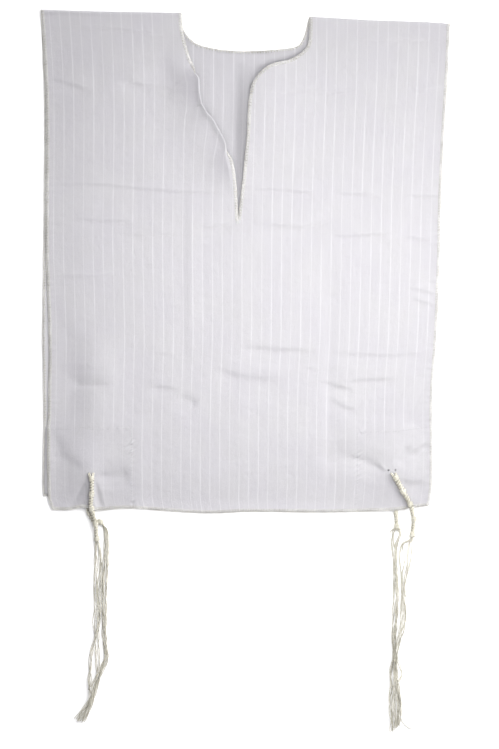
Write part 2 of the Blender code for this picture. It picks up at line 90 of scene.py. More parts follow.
def placeOn(table, s):
    return Vector([readTable(table, axis, s) for axis in "xyz"])


def smoothLine(points, step):
    # even points along a smooth curve through the given ones
    runs = runsAlong(points)
    rows = [(s, p.x, p.y, p.z) for s, p in zip(runs, points)]
    table = {"columns": ("s", "x", "y", "z"), "rows": rows}
    count = max(2, round(runs[-1] / step))
    return [placeOn(table, runs[-1] * n / count) for n in range(count + 1)]


def toStretch(x, y, a, b):
    # distance to a straight stretch, the share along it, its run and its length
    dx, dy = b[0] - a[0], b[1] - a[1]
    length = math.hypot(dx, dy)
    t = min(max(((x - a[0]) * dx + (y - a[1]) * dy) / length ** 2, 0.0), 1.0)
    return math.hypot(x - a[0] - t * dx, y - a[1] - t * dy), t, dx, dy, length


def nearLine(x, y, points):
    # distance to a bent line, the side of it (+ is left of its run), and the share along it
    best, side, along, run = 1e9, 1.0, 0.0, 0.0
    for a, b in zip(points, points[1:]):
        away, t, dx, dy, length = toStretch(x, y, a, b)
        if away < best:
            best = away
            side = 1.0 if dx * (y - a[1]) - dy * (x - a[0]) > 0 else -1.0
            along = run + t * length
        run += length
    return best, side, along / run


def lineBox(points, room):
    xs, ys = [p[0] for p in points], [p[1] for p in points]
    return min(xs) - room, max(xs) + room, min(ys) - room, max(ys) + room


def within(x, y, box):
    return box[0] < x < box[1] and box[2] < y < box[3]


# The garment's plan, in millimetres: +Y from the hem to the shoulders
garment = {
    "sides": {
        "columns": ("y", "frontLeft", "frontRight", "backLeft", "backRight"),
        "rows": [
            (-170, -237.6, 226.3, -247.5, 227.5),
            (-158, -242.1, 228.6, -248.2, 228.0),
            (-136, -243.5, 230.9, -249.4, 229.3),
            (-84, -243.7, 231.4, -248.5, 229.9),
            (-50, -242.8, 231.1, -248.2, 229.6),
            (-10, -242.3, 232.6, -248.8, 231.0),
            (38, -242.0, 236.4, -249.8, 235.0),
            (97, -243.7, 238.8, -249.1, 237.3),
            (150, -245.8, 240.8, -248.7, 239.3),
            (212, -245.6, 242.1, -248.2, 240.5),
            (270, -245.2, 244.6, -247.7, 243.0),
            (310, -245.2, 246.7, -247.5, 245.2),
            (350, -246.0, 249.2, -248.0, 247.8),
            (385, -247.7, 251.0, -249.4, 249.8),
            (447, -251.8, 253.5, -251.8, 253.5),
        ],
    },
    "hems": {
        "columns": ("x", "front", "back"),
        "rows": [
            (-248, -170.0, -153.5),
            (-218, -170.6, -153.8),
            (-200, -167.5, -153.0),
            (-183, -170.6, -154.2),
            (-145, -168.7, -154.5),
            (-106, -171.2, -156.0),
            (-48, -174.9, -158.5),
            (6, -173.0, -158.0),
            (104, -173.7, -160.5),
            (147, -172.4, -161.5),
            (184, -171.2, -162.5),
            (200, -168.7, -162.0),
            (225, -165.4, -161.0),
        ],
    },
    "shoulders": {
        "columns": ("x", "y"),
        "rows": [
            (-252, 447.1),
            (-179, 445.0),
            (-79, 443.4),
            (80, 438.8),
            (155, 434.7),
            (229, 432.0),
            (253, 430.1),
        ],
    },
    # the cut edge of the neck, corner points marked 1
    "frontNeck": [
        (-78.6, 443.0, 1), (-77.9, 422.0, 0), (-68.7, 388.1, 0), (-56.3, 362.1, 0),
        (-54.4, 328.7, 0), (-38.4, 309.5, 0), (-23.5, 281.7, 0), (-12.7, 244.5, 0),
        (-8.7, 185.2, 1), (-3.7, 223.5, 0), (2.8, 289.1, 0), (8.7, 352.2, 0), (28.5, 376.4, 0),
        (58.8, 386.0, 0), (77.7, 402.9, 0), (80.4, 438.0, 1),
    ],
    "backNeck": [
        (79.2, 436.0, 1), (68.1, 404.8, 0), (47.0, 398.8, 0), (-11.1, 396.3, 0), (-58.6, 404.8, 0),
        (-75.7, 422.0, 0), (-78.6, 443.0, 1),
    ],
    "slitEnd": 8,                # the front neck's point at the foot of the slit
    "foldRadius": 1.0,
    "wall": 1.0,
    "gap": 0.3,
}

# The cloth as one length: u across and v from the front hem over the shoulders to the back hem
cloth = {
    "width": 490.0,
    "front": 612.0,
    "fold": 3.6,
    "back": 597.0,
    "thickness": 0.5,
    # the flat grid's cells: up to this place, in this many; finer where the cloth has detail
    "columns": [
        (12, 5), (100, 20), (118, 9), (180, 14), (250, 32), (384, 29), (400, 8), (478, 18),
        (490, 5),
    ],
    "rows": [
        (96, 36), (207, 63), (249, 10), (301, 31), (329, 7), (363, 22), (385, 6), (407, 15),
        (511, 32), (537, 14), (579, 12), (602, 13), (612, 8), (615.6, 4), (675.6, 10),
        (1152.6, 12), (1212.6, 8),
    ],
    # cut finer again: round the front cords, along the patches' upright seams (up to this v, this
    # far off), at the rolled edge (its rows, and how far into and out of the cloth), round holes
    "cordAreas": [(34, 76, 0, 56), (418, 458, 0, 56)],
    "seamBand": (102, 7),
    "rollRows": (410, 565),
    "rollBands": (9.5, 2.5),
    "holeBand": 5,
    "neckStep": 4.0,
    "neckParts": 8,
    "backMiddle": 0.7,
    "frontLift": 0.7,
    # the share of a thread's height that is left on the back, above and below its cloth
    "backLifts": (0.55, 1.25),
}
cloth["length"] = cloth["front"] + cloth["fold"] + cloth["back"]

corners = {
    "patchLeft": 0.224,
    "patchRight": 0.800,
    "patchFrontUp": 0.166,
    "patchBackUp": 0.143,
    "room": 1.1,
    "slope": 22.0,
    "seamInset": 3.0,
    "hemInset": 6.0,
    "seamRoom": 25.0,
    "holeSpacing": 5.2,
    "holeRadius": 1.5,
    "frontHoles": [(-189.6, -126.0), (183.2, -126.0)],
    "openHoles": [(177.3, -121.8), (185.7, -121.4)],
    "openRadius": 1.4,
    "backHoles": [(-200.0, -110.0), (190.0, -117.0)],
    # the back's cords under the front, with the height that they lift it by
    "backCords": [
        ((-200.0, -113.6), (-191.0, -178.6), 2.6), ((190.0, -120.6), (186.6, -175.0), 1.3),
    ],
    "tentReach": 22.0,
    "tentTop": -40,
    "tentAcross": 80,
    "loopRaise": 1.7,
    "loopFlat": 8.0,
    "loopReach": 52.0,
}

relief = {
    "puff": 2.4,
    "puffReach": 60.0,
    "shoulderRise": 0.7,
    "shoulderReach": 30.0,
    # x, y, height, reach across, reach up: broad swells and dips
    "swells": [
        (24, 332, 7.0, 52, 80),
        (-42, 330, 3.6, 34, 52),
        (-14, 262, 2.5, 26, 50),
        (-100, 356, -1.6, 20, 22),
        (-184, -8, 5.0, 30, 46),
        (-186, -56, 1.6, 22, 24),
        (60, 90, 1.0, 90, 60),
        (-120, 70, 0.9, 60, 50),
        (160, 110, 0.9, 60, 55),
    ],
    # the front's left flap lifts along this line and tucks under at its very edge; its lift and
    # its roll are worked out only in these areas: x from and to, y from and to
    "lip": [
        (-65.0, 380), (-56.3, 362.1), (-55.6, 345), (-53.4, 330), (-47.5, 320), (-38.4, 309.5),
        (-23.5, 281.7), (-13.6, 249), (-10.2, 213),
    ],
    "lipArea": (-135, 20, 205, 385),
    "lipFade": 0.16,
    "lipHeight": 8.2,
    "lipReach": 15.0,
    "rollDepth": 6.2,
    "rollRadius": 0.68,
    "rollTurn": 3.1,
    "rollFade": (258, 26),
    "rollEase": 30,
    "rollArea": (-110, 10, 240, 385),
    # folds that it was packed in: line, step (up on the line's left), bend (a ridge, or a valley
    # below 0), how far it reaches, and how soft its line is
    "folds": [
        ([(-234, 423), (-219, 423), (-207, 425.5), (-185, 425), (-147, 422), (-83, 412)],
         0.45, 0.0, 7, 0.8),
        ([(122, 410), (160, 411), (246, 410)], 0.35, 0.1, 7, 1.2),
        ([(-240, 362), (-229, 359), (-214, 355), (-201, 350), (-188, 345)], 0.75, 0.0, 6, 0.9),
        ([(-160, 361), (-146, 358), (-125, 353.5), (-103, 350.5), (-80, 348)], 1.1, -0.2, 10, 1.8),
        ([(15, 348), (60, 346), (104, 347), (165, 345)], 0.6, -0.4, 12, 2.0),
        ([(206, 344), (230, 347), (250, 349)], 0.6, 0.2, 7, 1.2),
        ([(-246, 232), (-229, 231), (-176, 231), (-126, 225.5), (-75, 221.5), (-14, 220)],
         0.5, 0.1, 6, 0.8),
        ([(5, 225), (32, 225), (50, 223.5), (94, 220.5)], 0.5, 0.1, 7, 0.9),
        ([(102, 224), (119, 220), (170, 217.5)], 0.5, 0.1, 7, 0.9),
        ([(198, 217.5), (217, 216.5), (243, 216)], 0.6, 0.1, 6, 1.0),
        ([(-216, 188.5), (-175, 186.5), (-130, 184.5)], 0.75, -0.1, 9, 2.0),
        ([(-165, 172), (-126, 168), (-75, 171)], 0.35, 0.0, 9, 1.6),
        ([(-67, 176.5), (-43, 178.5), (-10, 183)], 0.7, -0.1, 8, 1.8),
        ([(2, 184), (32, 181), (70, 178), (92, 184), (112, 190)], 0.9, -0.2, 11, 2.4),
        ([(101, 171.5), (119, 167), (137, 168), (184, 170)], 0.8, -0.2, 8, 1.3),
        ([(197, 166), (216, 163.5), (236, 162)], 0.8, -0.1, 7, 1.4),
        ([(-236, 120.5), (-184, 120), (-146, 126.5)], -0.1, 0.45, 2.5, 0.5),
        ([(203, 102), (218, 100.5), (236, 95)], 0.7, 0.1, 5, 0.8),
        ([(205, 91), (223, 85), (237, 80)], 0.7, 0.0, 6, 1.0),
        ([(-116, 22.5), (-86, 20.5)], 0.3, 0.0, 5, 1.0),
        ([(-14, 31), (42, 27.5), (93, 26)], 0.85, -0.2, 11, 2.0),
        ([(93, 24.5), (121, 21.5), (181, 19.5), (209, 21.5), (233, 18.5)], 0.45, -0.1, 7, 1.3),
        ([(-44, 4), (-27, 2), (-8, -5), (20, -8.5), (55, -8)], 1.05, -0.3, 14, 3.4),
        ([(73, 6), (92, 0)], 0.3, 0.0, 6, 1.0),
        ([(-238, -20), (-213, -19.5), (-184, -18.5), (-162, -17)], -0.45, -1.3, 12, 0.7),
        ([(-120, -21), (-107, -18.5), (-91, -20.5), (-82, -23)], 0.8, -0.1, 8, 1.7),
        ([(-84, -26), (-70, -33), (-56, -41)], 0.9, -0.6, 10, 3.0),
        ([(93, -11), (109, -17.5), (125, -21), (135, -20)], 0.8, -0.6, 7, 1.0),
        ([(102, -27), (113, -38), (126, -45), (140, -47.5)], 0.7, -0.2, 6, 1.2),
        ([(116, -15.5), (138, -11), (170, -9.5), (193, -7.5)], 0.7, -0.2, 9, 1.6),
        ([(194, -70), (206, -50), (221, -28), (230, -10)], 1.9, -0.8, 12, 3.0),
        ([(-71, 262), (-71, -27)], 0.65, 0.1, 8, 2.2),
        ([(101, 184), (100, -175)], -0.45, -0.4, 9, 1.6),
        ([(-7, 180), (-7, -168)], 0.12, 0.2, 8, 2.0),
        ([(-72, 440), (-72, 400)], 0.3, 0.2, 8, 2.0),
        # the tone falls in broad steps towards the lower left
        ([(-234, 62), (-222.6, 55.4), (-211.5, 42.8), (-198.7, 37.9)], 0.5, 0.0, 18, 6.0),
        # the left flap stands up from its foot
        ([(-108, 398), (-92, 374), (-80, 356), (-68, 338), (-56, 320), (-44, 302)],
         2.5, 0.0, 30, 13.0),
        # drawn towards the cords' holes
        ([(-252, -62), (-231, -90), (-222, -103), (-213, -110), (-204, -116), (-192, -126)],
         0.8, -0.8, 16, 3.6),
        ([(-190, -127), (-166, -128.5), (-138, -126)], 0.3, -1.1, 8, 1.5),
        ([(86, -104), (123, -104.7), (146, -109), (163, -117), (182, -126)], 0.3, -1.5, 9, 1.1),
        ([(161, -109), (176, -123.5)], 0.0, 0.5, 1.8, 0.5),
        ([(184, -114), (192, -103), (201, -88)], 1.3, -0.5, 8, 1.7),
        ([(200, -106), (213, -97), (229, -84)], 1.1, -0.3, 8, 1.6),
        ([(190, -132), (203, -138), (224, -135)], 0.9, -0.5, 9, 1.8),
    ],
    # narrow ridges and valleys at the cords, each widening from its first point to its second
    "rays": [
        ((-189, -128), (-190.5, -168), 1.8, 5.0, 8.0),
        ((-195, -133), (-214, -166), -1.3, 1.8, 4.5),
        ((-186, -131), (-179, -168), -2.2, 1.5, 4.0),
        ((184, -128), (203, -164), 0.3, 4.0, 7.0),
    ],
    "foldStrength": 2.3,
    "foldSoftness": 1.8,
    "foldEnd": 2.6,                # a fold has run out at this many times its reach
    "endFade": 0.3,                # and over this share of its line at each end
    "raysTop": -95,
    "raysAcross": 60,
    "edgeEase": 14,
    "seamPucker": 0.85,
    "seamReach": 3.4,
    "edgePucker": 0.36,
    "edgeReach": 6.5,
    "edgeWobble": 0.35,
    # height, reach across, reach up, and a place of its own in the noise
    "unevenness": [(0.55, 95, 55, 3.1), (0.22, 42, 21, 7.7), (0.14, 17, 8, 1.9)],
    # the left shoulder's fold stands up a little: its height at the outer end and at the neck, its
    # reach, and where it is
    "shoulderBead": {
        "outer": 2.6, "inner": 0.9, "reach": 2.4, "right": -60, "below": 16, "start": -78,
        "run": 170,
    },
    "borderCurl": (1.5, 6),
    # the back's packed fold: y, height, reach, half its width, how softly it ends
    "backFold": (363, 0.7, 5, 90, 20),
    # the fold in the slit: where it starts and how softly, at the left, right, foot and top
    "slitFold": ((-12.5, 16.5), (70, 45), (192, 34), (370, 30)),
    # its least height, how much it gains at its middle, and that middle's y and reach
    "slitRise": (3.2, 4.4, 320, 62),
}


def sideAt(panel, side, y):
    return readTable(garment["sides"], panel + side, y)


def hemAt(panel, x):
    return readTable(garment["hems"], panel, x)


def shoulderLine(x):
    return readTable(garment["shoulders"], "y", x) - garment["wall"] / 2 - garment["foldRadius"]


def planPoint(panel, across, upward):
    # the plan place of a panel at its shares from left to right and from hem to shoulder
    level = mix(hemAt(panel, 0), shoulderLine(0), upward)
    x = mix(sideAt(panel, "Left", level), sideAt(panel, "Right", level), across)
    top = shoulderLine(x) - (garment["gap"] if panel == "back" else 0)
    y = mix(hemAt(panel, x), top, upward)
    return mix(sideAt(panel, "Left", y), sideAt(panel, "Right", y), across), y


def flatPlace(panel, x, y):
    # the cloth's u and v at a plan place
    left, right, hem = sideAt(panel, "Left", y), sideAt(panel, "Right", y), hemAt(panel, x)
    upward = (y - hem) / (shoulderLine(x) - hem)
    u = (x - left) / (right - left) * cloth["width"]
    if panel == "front":
        return Vector((u, upward * cloth["front"], 0))
    return Vector((u, cloth["length"] - upward * cloth["back"], 0))


# the patches' inner edges: in the plan of the front, and on the flat cloth
patchEdges = (
    planPoint("front", corners["patchLeft"], 0)[0],
    planPoint("front", corners["patchRight"], 0)[0],
    planPoint("front", 0.5, corners["patchFrontUp"])[1],
)
patchFlat = {
    "left": corners["patchLeft"] * cloth["width"],
    "right": corners["patchRight"] * cloth["width"],
    "front": corners["patchFrontUp"] * cloth["front"],
    "back": cloth["length"] - corners["patchBackUp"] * cloth["back"],
}


def patchShare(x, y):
    # how much of the patches' height the front has at a plan place
    leftEdge, rightEdge, topEdge = patchEdges
    inward = min(x - leftEdge, rightEdge - x)
    return (1 - smooth(inward / corners["slope"])) * (1 - smooth((y - topEdge) / corners["slope"]))


def patchCover(u, v):
    # 1 where a patch lies under the flat cloth
    sideways = max(patchFlat["left"] - u, u - patchFlat["right"])
    hemward = max(patchFlat["front"] - v, v - patchFlat["back"])
    return smooth(sideways / 2 + 0.5) * smooth(hemward / 2 + 0.5)


foldBoxes = [lineBox(row[0], relief["foldEnd"] * row[3]) for row in relief["folds"]]


def foldRelief(x, y):
    rise = 0.0
    for box, (points, step, bend, reach, edge) in zip(foldBoxes, relief["folds"]):
        if not within(x, y, box):
            continue
        away, side, along = nearLine(x, y, points)
        strength = relief["foldStrength"] * smooth(min(along, 1 - along) / relief["endFade"])
        strength *= smooth((relief["foldEnd"] * reach - away) / reach)
        edge *= relief["foldSoftness"]
        rise += strength * step * side * (1 - math.exp(-away / edge)) * math.exp(-away / reach)
        rise += strength * bend * math.exp(-(math.hypot(away, edge) - edge) / reach)
    for start, end, height, narrow, wide in relief["rays"]:
        if y <= relief["raysTop"] and abs(x - start[0]) <= relief["raysAcross"]:
            away, side, along = nearLine(x, y, [start, end])
            ending = smooth(along / relief["endFade"])
            rise += height * ending * bell(away, mix(narrow, wide, along))
    return rise


def softUnevenness(x, y):
    return sum(
        height * noise.noise(Vector((x / across, y / upward, place)))
        for height, across, upward, place in relief["unevenness"]
    )


def nearLip(x, y):
    # depth into the cloth from the left flap's edge, the way into it, and how much it lifts there
    nearest = None
    rows = relief["lip"]
    for n, (a, b) in enumerate(zip(rows, rows[1:])):
        away, t, dx, dy, length = toStretch(x, y, a, b)
        if nearest is None or away < nearest[0]:
            inX, inY = dy / length, -dx / length
            depth = (x - a[0]) * inX + (y - a[1]) * inY
            nearest = (away, depth, inX, inY, (n + t) / (len(rows) - 1))
    away, depth, inX, inY, along = nearest
    fade = smooth(min(along, 1 - along) / relief["lipFade"])
    if depth < 0:
        fade *= smooth((6 - away) / 3)
    return (away if depth > 0 else -away), inX, inY, fade


def lipRoll(x, y):
    # how far a point moves where the edge is rolled under, and from it to the cloth over it
    depth, inX, inY, fade = nearLip(x, y)
    foot, run = relief["rollFade"]
    fade *= smooth((y - foot) / run)
    start, radius, most = relief["rollDepth"], relief["rollRadius"], relief["rollTurn"]
    if depth < start:
        turn = min((start - depth) / radius, most)
        tail = max(start - depth - radius * most, 0.0)
        reached = radius * (1 - math.sin(turn)) + tail
        drop = radius * (1 - math.cos(turn))
        covered = reached + start - radius
    else:
        eased = 1 - smooth((depth - start) / relief["rollEase"])
        reached = depth + (radius - start) * eased
        drop = 0.0
        covered = depth
    inward = Vector((inX, inY, 0)) * fade
    return inward * (reached - depth) - up * drop * fade, inward * (covered - depth)


def lipRelief(x, y):
    depth, inX, inY, fade = nearLip(x, y)
    beyond = max(depth - relief["rollDepth"], 0)
    return fade * relief["lipHeight"] * math.exp(-beyond / relief["lipReach"])


def backRaise(x, y):
    # both layers lie higher where a back cord loops under the back
    height = 0.0
    span = corners["loopReach"] - corners["loopFlat"]
    for holeX, holeY in corners["backHoles"]:
        away = math.hypot(x - holeX, y - holeY)
        level = 1 - smooth((away - corners["loopFlat"]) / span)
        height = max(height, corners["loopRaise"] * level)
    return height


def frontHeight(x, y):
    # the middle of the front's cloth
    inward = min(x - sideAt("front", "Left", y), sideAt("front", "Right", y) - x)
    fromFold = shoulderLine(x) - y
    upward = min(y - hemAt("front", x), fromFold)
    height = garment["wall"] + garment["gap"] + backRaise(x, y)
    patched = patchShare(x, y)
    height += corners["room"] * patched
    height += relief["shoulderRise"] * (1 - smooth(fromFold / relief["shoulderReach"]))
    bead = relief["shoulderBead"]
    if x < bead["right"] and upward < bead["below"]:
        outward = smooth((bead["start"] - x) / bead["run"])
        height += mix(bead["inner"], bead["outer"], outward) * bell(fromFold, bead["reach"])
    free = relief["puff"]
    for swellX, swellY, rise, across, upReach in relief["swells"]:
        free += rise * bell(x - swellX, across) * bell(y - swellY, upReach)
    loose = smooth(inward / relief["puffReach"]) * smooth(upward / relief["puffReach"])
    height += loose * max(free, 0.0)
    for start, end, tent in corners["backCords"]:
        if y <= corners["tentTop"] and abs(x - start[0]) <= corners["tentAcross"]:
            height += tent * bell(nearLine(x, y, [start, end])[0], corners["tentReach"])
    ease = relief["edgeEase"]
    height += foldRelief(x, y) * smooth(inward / ease + 0.25) * smooth(upward / ease + 0.25)
    height += softUnevenness(x, y) * smooth(upward / 25 + 0.1) * (1 - 0.5 * patched)
    if within(x, y, relief["lipArea"]):
        height += lipRelief(x, y)
    return max(height, garment["wall"] + garment["gap"]) + cloth["frontLift"]


def backHeight(x, y):
    # the middle of the back's cloth: flat on the table, with one packed fold across the neck
    height = cloth["backMiddle"] + backRaise(x, y)
    foldY, rise, reach, half, ending = relief["backFold"]
    height += rise * math.exp(-abs(y - foldY) / reach) * smooth((half - abs(x)) / ending)
    # its border curls up a little where it shows beyond the front's left edge
    curl, reach = relief["borderCurl"]
    height += curl * smooth((sideAt("front", "Left", y) - x) / reach)
    # a soft fold that shows in the slit
    left, right, low, high = relief["slitFold"]
    raised = smooth((x - left[0]) / left[1]) * smooth((right[0] - x) / right[1])
    raised *= smooth((y - low[0]) / low[1]) * smooth((high[0] - y) / high[1])
    least, more, middle, reach = relief["slitRise"]
    return height + raised * (least + more * bell(y - middle, reach))


def seamRuns():
    # the patches' stitch lines on the flat cloth: in from the side, round the corner, to the hem
    inset, hem = corners["seamInset"], corners["hemInset"]
    leftU, rightU = patchFlat["left"] - inset, patchFlat["right"] + inset
    frontV, backV = patchFlat["front"] - inset, patchFlat["back"] + inset
    runs = []
    for v, hemV in ((frontV, hem), (backV, cloth["length"] - hem)):
        runs.append([(hem, v), (leftU, v), (leftU, hemV)])
        runs.append([(cloth["width"] - hem, v), (rightU, v), (rightU, hemV)])
    return runs


seams = seamRuns()
seamBoxes = [lineBox(points, corners["seamRoom"]) for points in seams]


def seamRelief(u, v):
    # cloth drawn in along the stitch lines, in short uneven waves, and calm at their corner
    rise = 0.0
    for points, box in zip(seams, seamBoxes):
        if not within(u, v, box):
            continue
        away, side, along = nearLine(u, v, points)
        corner = math.dist(points[0], points[1])
        place = along * (corner + math.dist(points[1], points[2]))
        phase = (place + 0.6 * away * side) / 6.2 * 2 * math.pi
        wave = math.sin(phase + 2.2 * math.sin(place / 17))
        wave += 0.6 * math.sin(place / 10.3 * 2 * math.pi + 1.7 * math.sin(place / 29))
        wave *= max(0.5 + 1.4 * noise.noise(Vector((place / 15, 4.4, 0))), 0.1)
        wave *= mix(0.1, 1.0, smooth(abs(place - corner) / 15))
        rise += relief["seamPucker"] * wave * math.exp(-away / relief["seamReach"])
    return rise


def neckOutline():
    # the neck's cut edge on the flat cloth
    outline = []
    for panel in ("front", "back"):
        run = []
        for x, y, corner in garment[panel + "Neck"]:
            run.append(flatPlace(panel, x, y))
            if corner and len(run) > 1:
                outline += smoothLine(run, cloth["neckStep"])[:-1]
                run = [run[-1]]
        outline.append(run[-1])
    return outline


# with a tree of its points for distances
neckLine = neckOutline()
neckRuns = runsAlong(neckLine + neckLine[:1])
neckParts = cloth["neckParts"]
neckTree = kdtree.KDTree(len(neckLine) * neckParts)
for n, point in enumerate(neckLine):
    following = neckLine[(n + 1) % len(neckLine)]
    for part in range(neckParts):
        neckTree.insert(point.lerp(following, part / neckParts), n * neckParts + part)
neckTree.balance()


def edgePlace(u, v):
    # distance to the nearest cut edge and the place along it
    nearest, index, away = neckTree.find(Vector((u, v, 0)))
    n, part = divmod(index, neckParts)
    return min(
        (away, mix(neckRuns[n], neckRuns[n + 1], part / neckParts)),
        (u, v),
        (cloth["width"] - u, v + 31),
        (v, u + 77),
        (cloth["length"] - v, u + 13),
    )


def clothPoint(u, v):
    # the middle of the cloth as it lies, at a place on the flat cloth
    across = min(max(u / cloth["width"], -0.01), 1.01)
    away, place = edgePlace(u, v)
    away = max(away, 0)
    wave = math.sin(place / 8.6 * 2 * math.pi + 2.5 * math.sin(place / 23.0))
    wave *= 0.6 + 0.8 * noise.noise(Vector((place / 19, 8.8, 0)))
    wave *= 1 + 0.7 * smooth((u - 440) / 40)
    pucker = relief["edgePucker"] * wave * math.exp(-away / relief["edgeReach"])
    pucker += seamRelief(u, v)
    wobble = relief["edgeWobble"] * noise.noise(Vector((place / 26, 2.2, 0))) * math.exp(-away / 9)
    if v <= cloth["front"]:
        x, y = planPoint("front", across, v / cloth["front"])
        rolled = covered = Vector()
        if within(x, y, relief["rollArea"]):
            rolled, covered = lipRoll(x, y)
        height = frontHeight(x + covered.x, y + covered.y)
        return Vector((x + wobble, y + wobble, height + pucker)) + rolled
    if v <= cloth["front"] + cloth["fold"]:
        x, y = planPoint("front", across, 1)
        turn = math.pi * (v - cloth["front"]) / cloth["fold"]
        top = frontHeight(x, y)
        drop = (top - cloth["backMiddle"]) / 2
        y += garment["foldRadius"] * math.sin(turn)
        return Vector((x, y, top - drop + drop * math.cos(turn)))
    x, y = planPoint("back", across, (cloth["length"] - v) / cloth["back"])
    return Vector((x + wobble, y, backHeight(x, y) + 0.3 * max(pucker, 0)))


def onCloth(u, v, lift):
    # a point lifted off the cloth's face, and outwards past an edge where u or v runs past it
    innerU = min(max(u, 0.0), cloth["width"])
    innerV = min(max(v, 0.0), cloth["length"])
    here = clothPoint(innerU, innerV)
    stepU = 1.0 if innerU < cloth["width"] / 2 else -1.0
    stepV = 1.0 if innerV < cloth["length"] / 2 else -1.0
    alongU = (clothPoint(innerU + stepU, innerV) - here) * stepU
    alongV = (clothPoint(innerU, innerV + stepV) - here) * stepV
    face = alongU.cross(alongV).normalized()
    if v > cloth["front"] + cloth["fold"] / 2:
        lift *= cloth["backLifts"][0 if lift > 0 else 1]
    here += alongU.normalized() * (u - innerU)
    here += alongV.normalized() * (v - innerV)
    return here + face * lift


# meshes and pieces

def addObject(name, data):
    holder = bpy.data.objects.new(name, data)
    bpy.context.scene.collection.objects.link(holder)
    return holder


def meshPiece(name, bm, material):
    mesh = bpy.data.meshes.new(name)
    bm.to_mesh(mesh)
    bm.free()
    mesh.shade_smooth()
    mesh.materials.append(material)
    return addObject(name, mesh)


def pliedProfile(radius, lobes):
    # the cross section of a plied thread
    shape = bpy.data.curves.new("plies", "CURVE")
    shape.dimensions = "2D"
    ring = shape.splines.new("POLY")
    ring.points.add(lobes * 3 - 1)
    ring.use_cyclic_u = True
    for n, point in enumerate(ring.points):
        angle = 2 * math.pi * n / (lobes * 3)
        reach = radius * (1.0 if n % 3 else 0.66)
        point.co = (reach * math.cos(angle) * mm, reach * math.sin(angle) * mm, 0, 1)
    return addObject("plies", shape)


def threadsMesh(bm, lines, radius, sides=4, lobes=0, lay=0.0, radii=None):
    # threads along lines of millimetre points, added to bm; with lobes the thread is a plied one
    curve = bpy.data.curves.new("threads", "CURVE")
    curve.dimensions = "3D"
    curve.use_fill_caps = True
    used = []
    if lobes:
        used.append(pliedProfile(radius, lobes))
        curve.bevel_mode = "OBJECT"
        curve.bevel_object = used[0]
    else:
        curve.bevel_depth = radius * mm
        curve.bevel_resolution = (sides - 4) // 2
    for n, line in enumerate(lines):
        spline = curve.splines.new("POLY")
        spline.points.add(len(line) - 1)
        run = 0.0
        for i, (point, at) in enumerate(zip(spline.points, line)):
            point.co = (at.x * mm, at.y * mm, at.z * mm, 1)
            if radii:
                point.radius = radii[n][i]
            if lobes:
                run += (at - line[i - 1]).length if i else 0.0
                point.tilt = 2 * math.pi * run / lay
    holder = addObject("threads", curve)
    bpy.context.view_layer.update()
    made = holder.evaluated_get(bpy.context.evaluated_depsgraph_get())
    made = bpy.data.meshes.new_from_object(made)
    first = len(bm.verts)
    bm.from_mesh(made)
    bm.verts.ensure_lookup_table()
    bmesh.ops.remove_doubles(bm, verts=bm.verts[first:], dist=0.000004)
    for done in [holder] + used:
        data = done.data
        bpy.data.objects.remove(done)
        bpy.data.curves.remove(data)
    bpy.data.meshes.remove(made)


# materials

class Nodes:
    # short calls for a material's node tree
    def __init__(self, name, **values):
        self.material = bpy.data.materials.new(name)
        self.material.use_nodes = True
        self.tree = self.material.node_tree
        self.shader = self.tree.nodes["Principled BSDF"]
        for key, value in values.items():
            self.shader.inputs[key.replace("_", " ")].default_value = value

    def give(self, socket, value):
        # sets a number or a colour, and links a node's output
        if isinstance(value, (int, float, tuple)):
            socket.default_value = value
        else:
            self.tree.links.new(value, socket)

    def add(self, kind, links=(), **values):
        node = self.tree.nodes.new(kind)
        for key, value in values.items():
            if hasattr(node, key):
                setattr(node, key, value)
            else:
                node.inputs[key.replace("_", " ")].default_value = value
        for socket, source in dict(links).items():
            self.tree.links.new(source, node.inputs[socket])
        return node

    def math(self, operation, *values):
        node = self.add("ShaderNodeMath", operation=operation)
        for n, value in enumerate(values):
            self.give(node.inputs[n], value)
        return node.outputs[0]

    def noise(self, place, **values):
        return self.add("ShaderNodeTexNoise", {"Vector": place}, **values).outputs["Fac"]

    def ramp(self, source, low, high, start=0.0, end=1.0):
        node = self.add("ShaderNodeMapRange", {"Value": source}, interpolation_type="SMOOTHSTEP")
        values = {"From Min": low, "From Max": high, "To Min": start, "To Max": end}
        for key, value in values.items():
            node.inputs[key].default_value = value
        return node.outputs["Result"]

    def colourMix(self, share, a, b):
        node = self.add("ShaderNodeMix", data_type="RGBA")
        for n, value in ((0, share), (6, a), (7, b)):
            self.give(node.inputs[n], value)
        return node.outputs[2]

    def bump(self, height, distance, strength, under=None):
        node = self.add("ShaderNodeBump", {"Height": height}, Distance=distance, Strength=strength)
        if under:
            self.tree.links.new(under, node.inputs["Normal"])
        return node.outputs["Normal"]

    def join(self, output, inputName):
        self.tree.links.new(output, self.shader.inputs[inputName])


clothFinish = {
    "ground": (0.530, 0.520, 0.545, 1.0),
    "groundWarm": (0.542, 0.535, 0.549, 1.0),
    "stripe": (0.720, 0.715, 0.730, 1.0),
    # the wrong side's colour: its weaker stripes are the cloth's own, but its darker ground is
    # painted shade, for where the back shows in the neck opening, in the slit and beyond the
    # front's left edge
    "inner": (0.450, 0.446, 0.458, 1.0),
    "stripePitch": 12.35,      # millimetres across the flat cloth
    "stripeStart": 8.9,
    "stripeWidth": 1.35,
    "overPatch": 0.55,         # the share of a stripe's strength that is left over a patch
    "ribPitch": 2.06,
    "ribStrength": 0.05,
    "streakStrength": 0.16,
    "yarn": 0.42,
    "roughness": 0.88,
    "seeThrough": (0.84, 0.83, 0.86, 1.0),
    "through": 0.48,           # the share of light that passes each face of the thin cotton
}


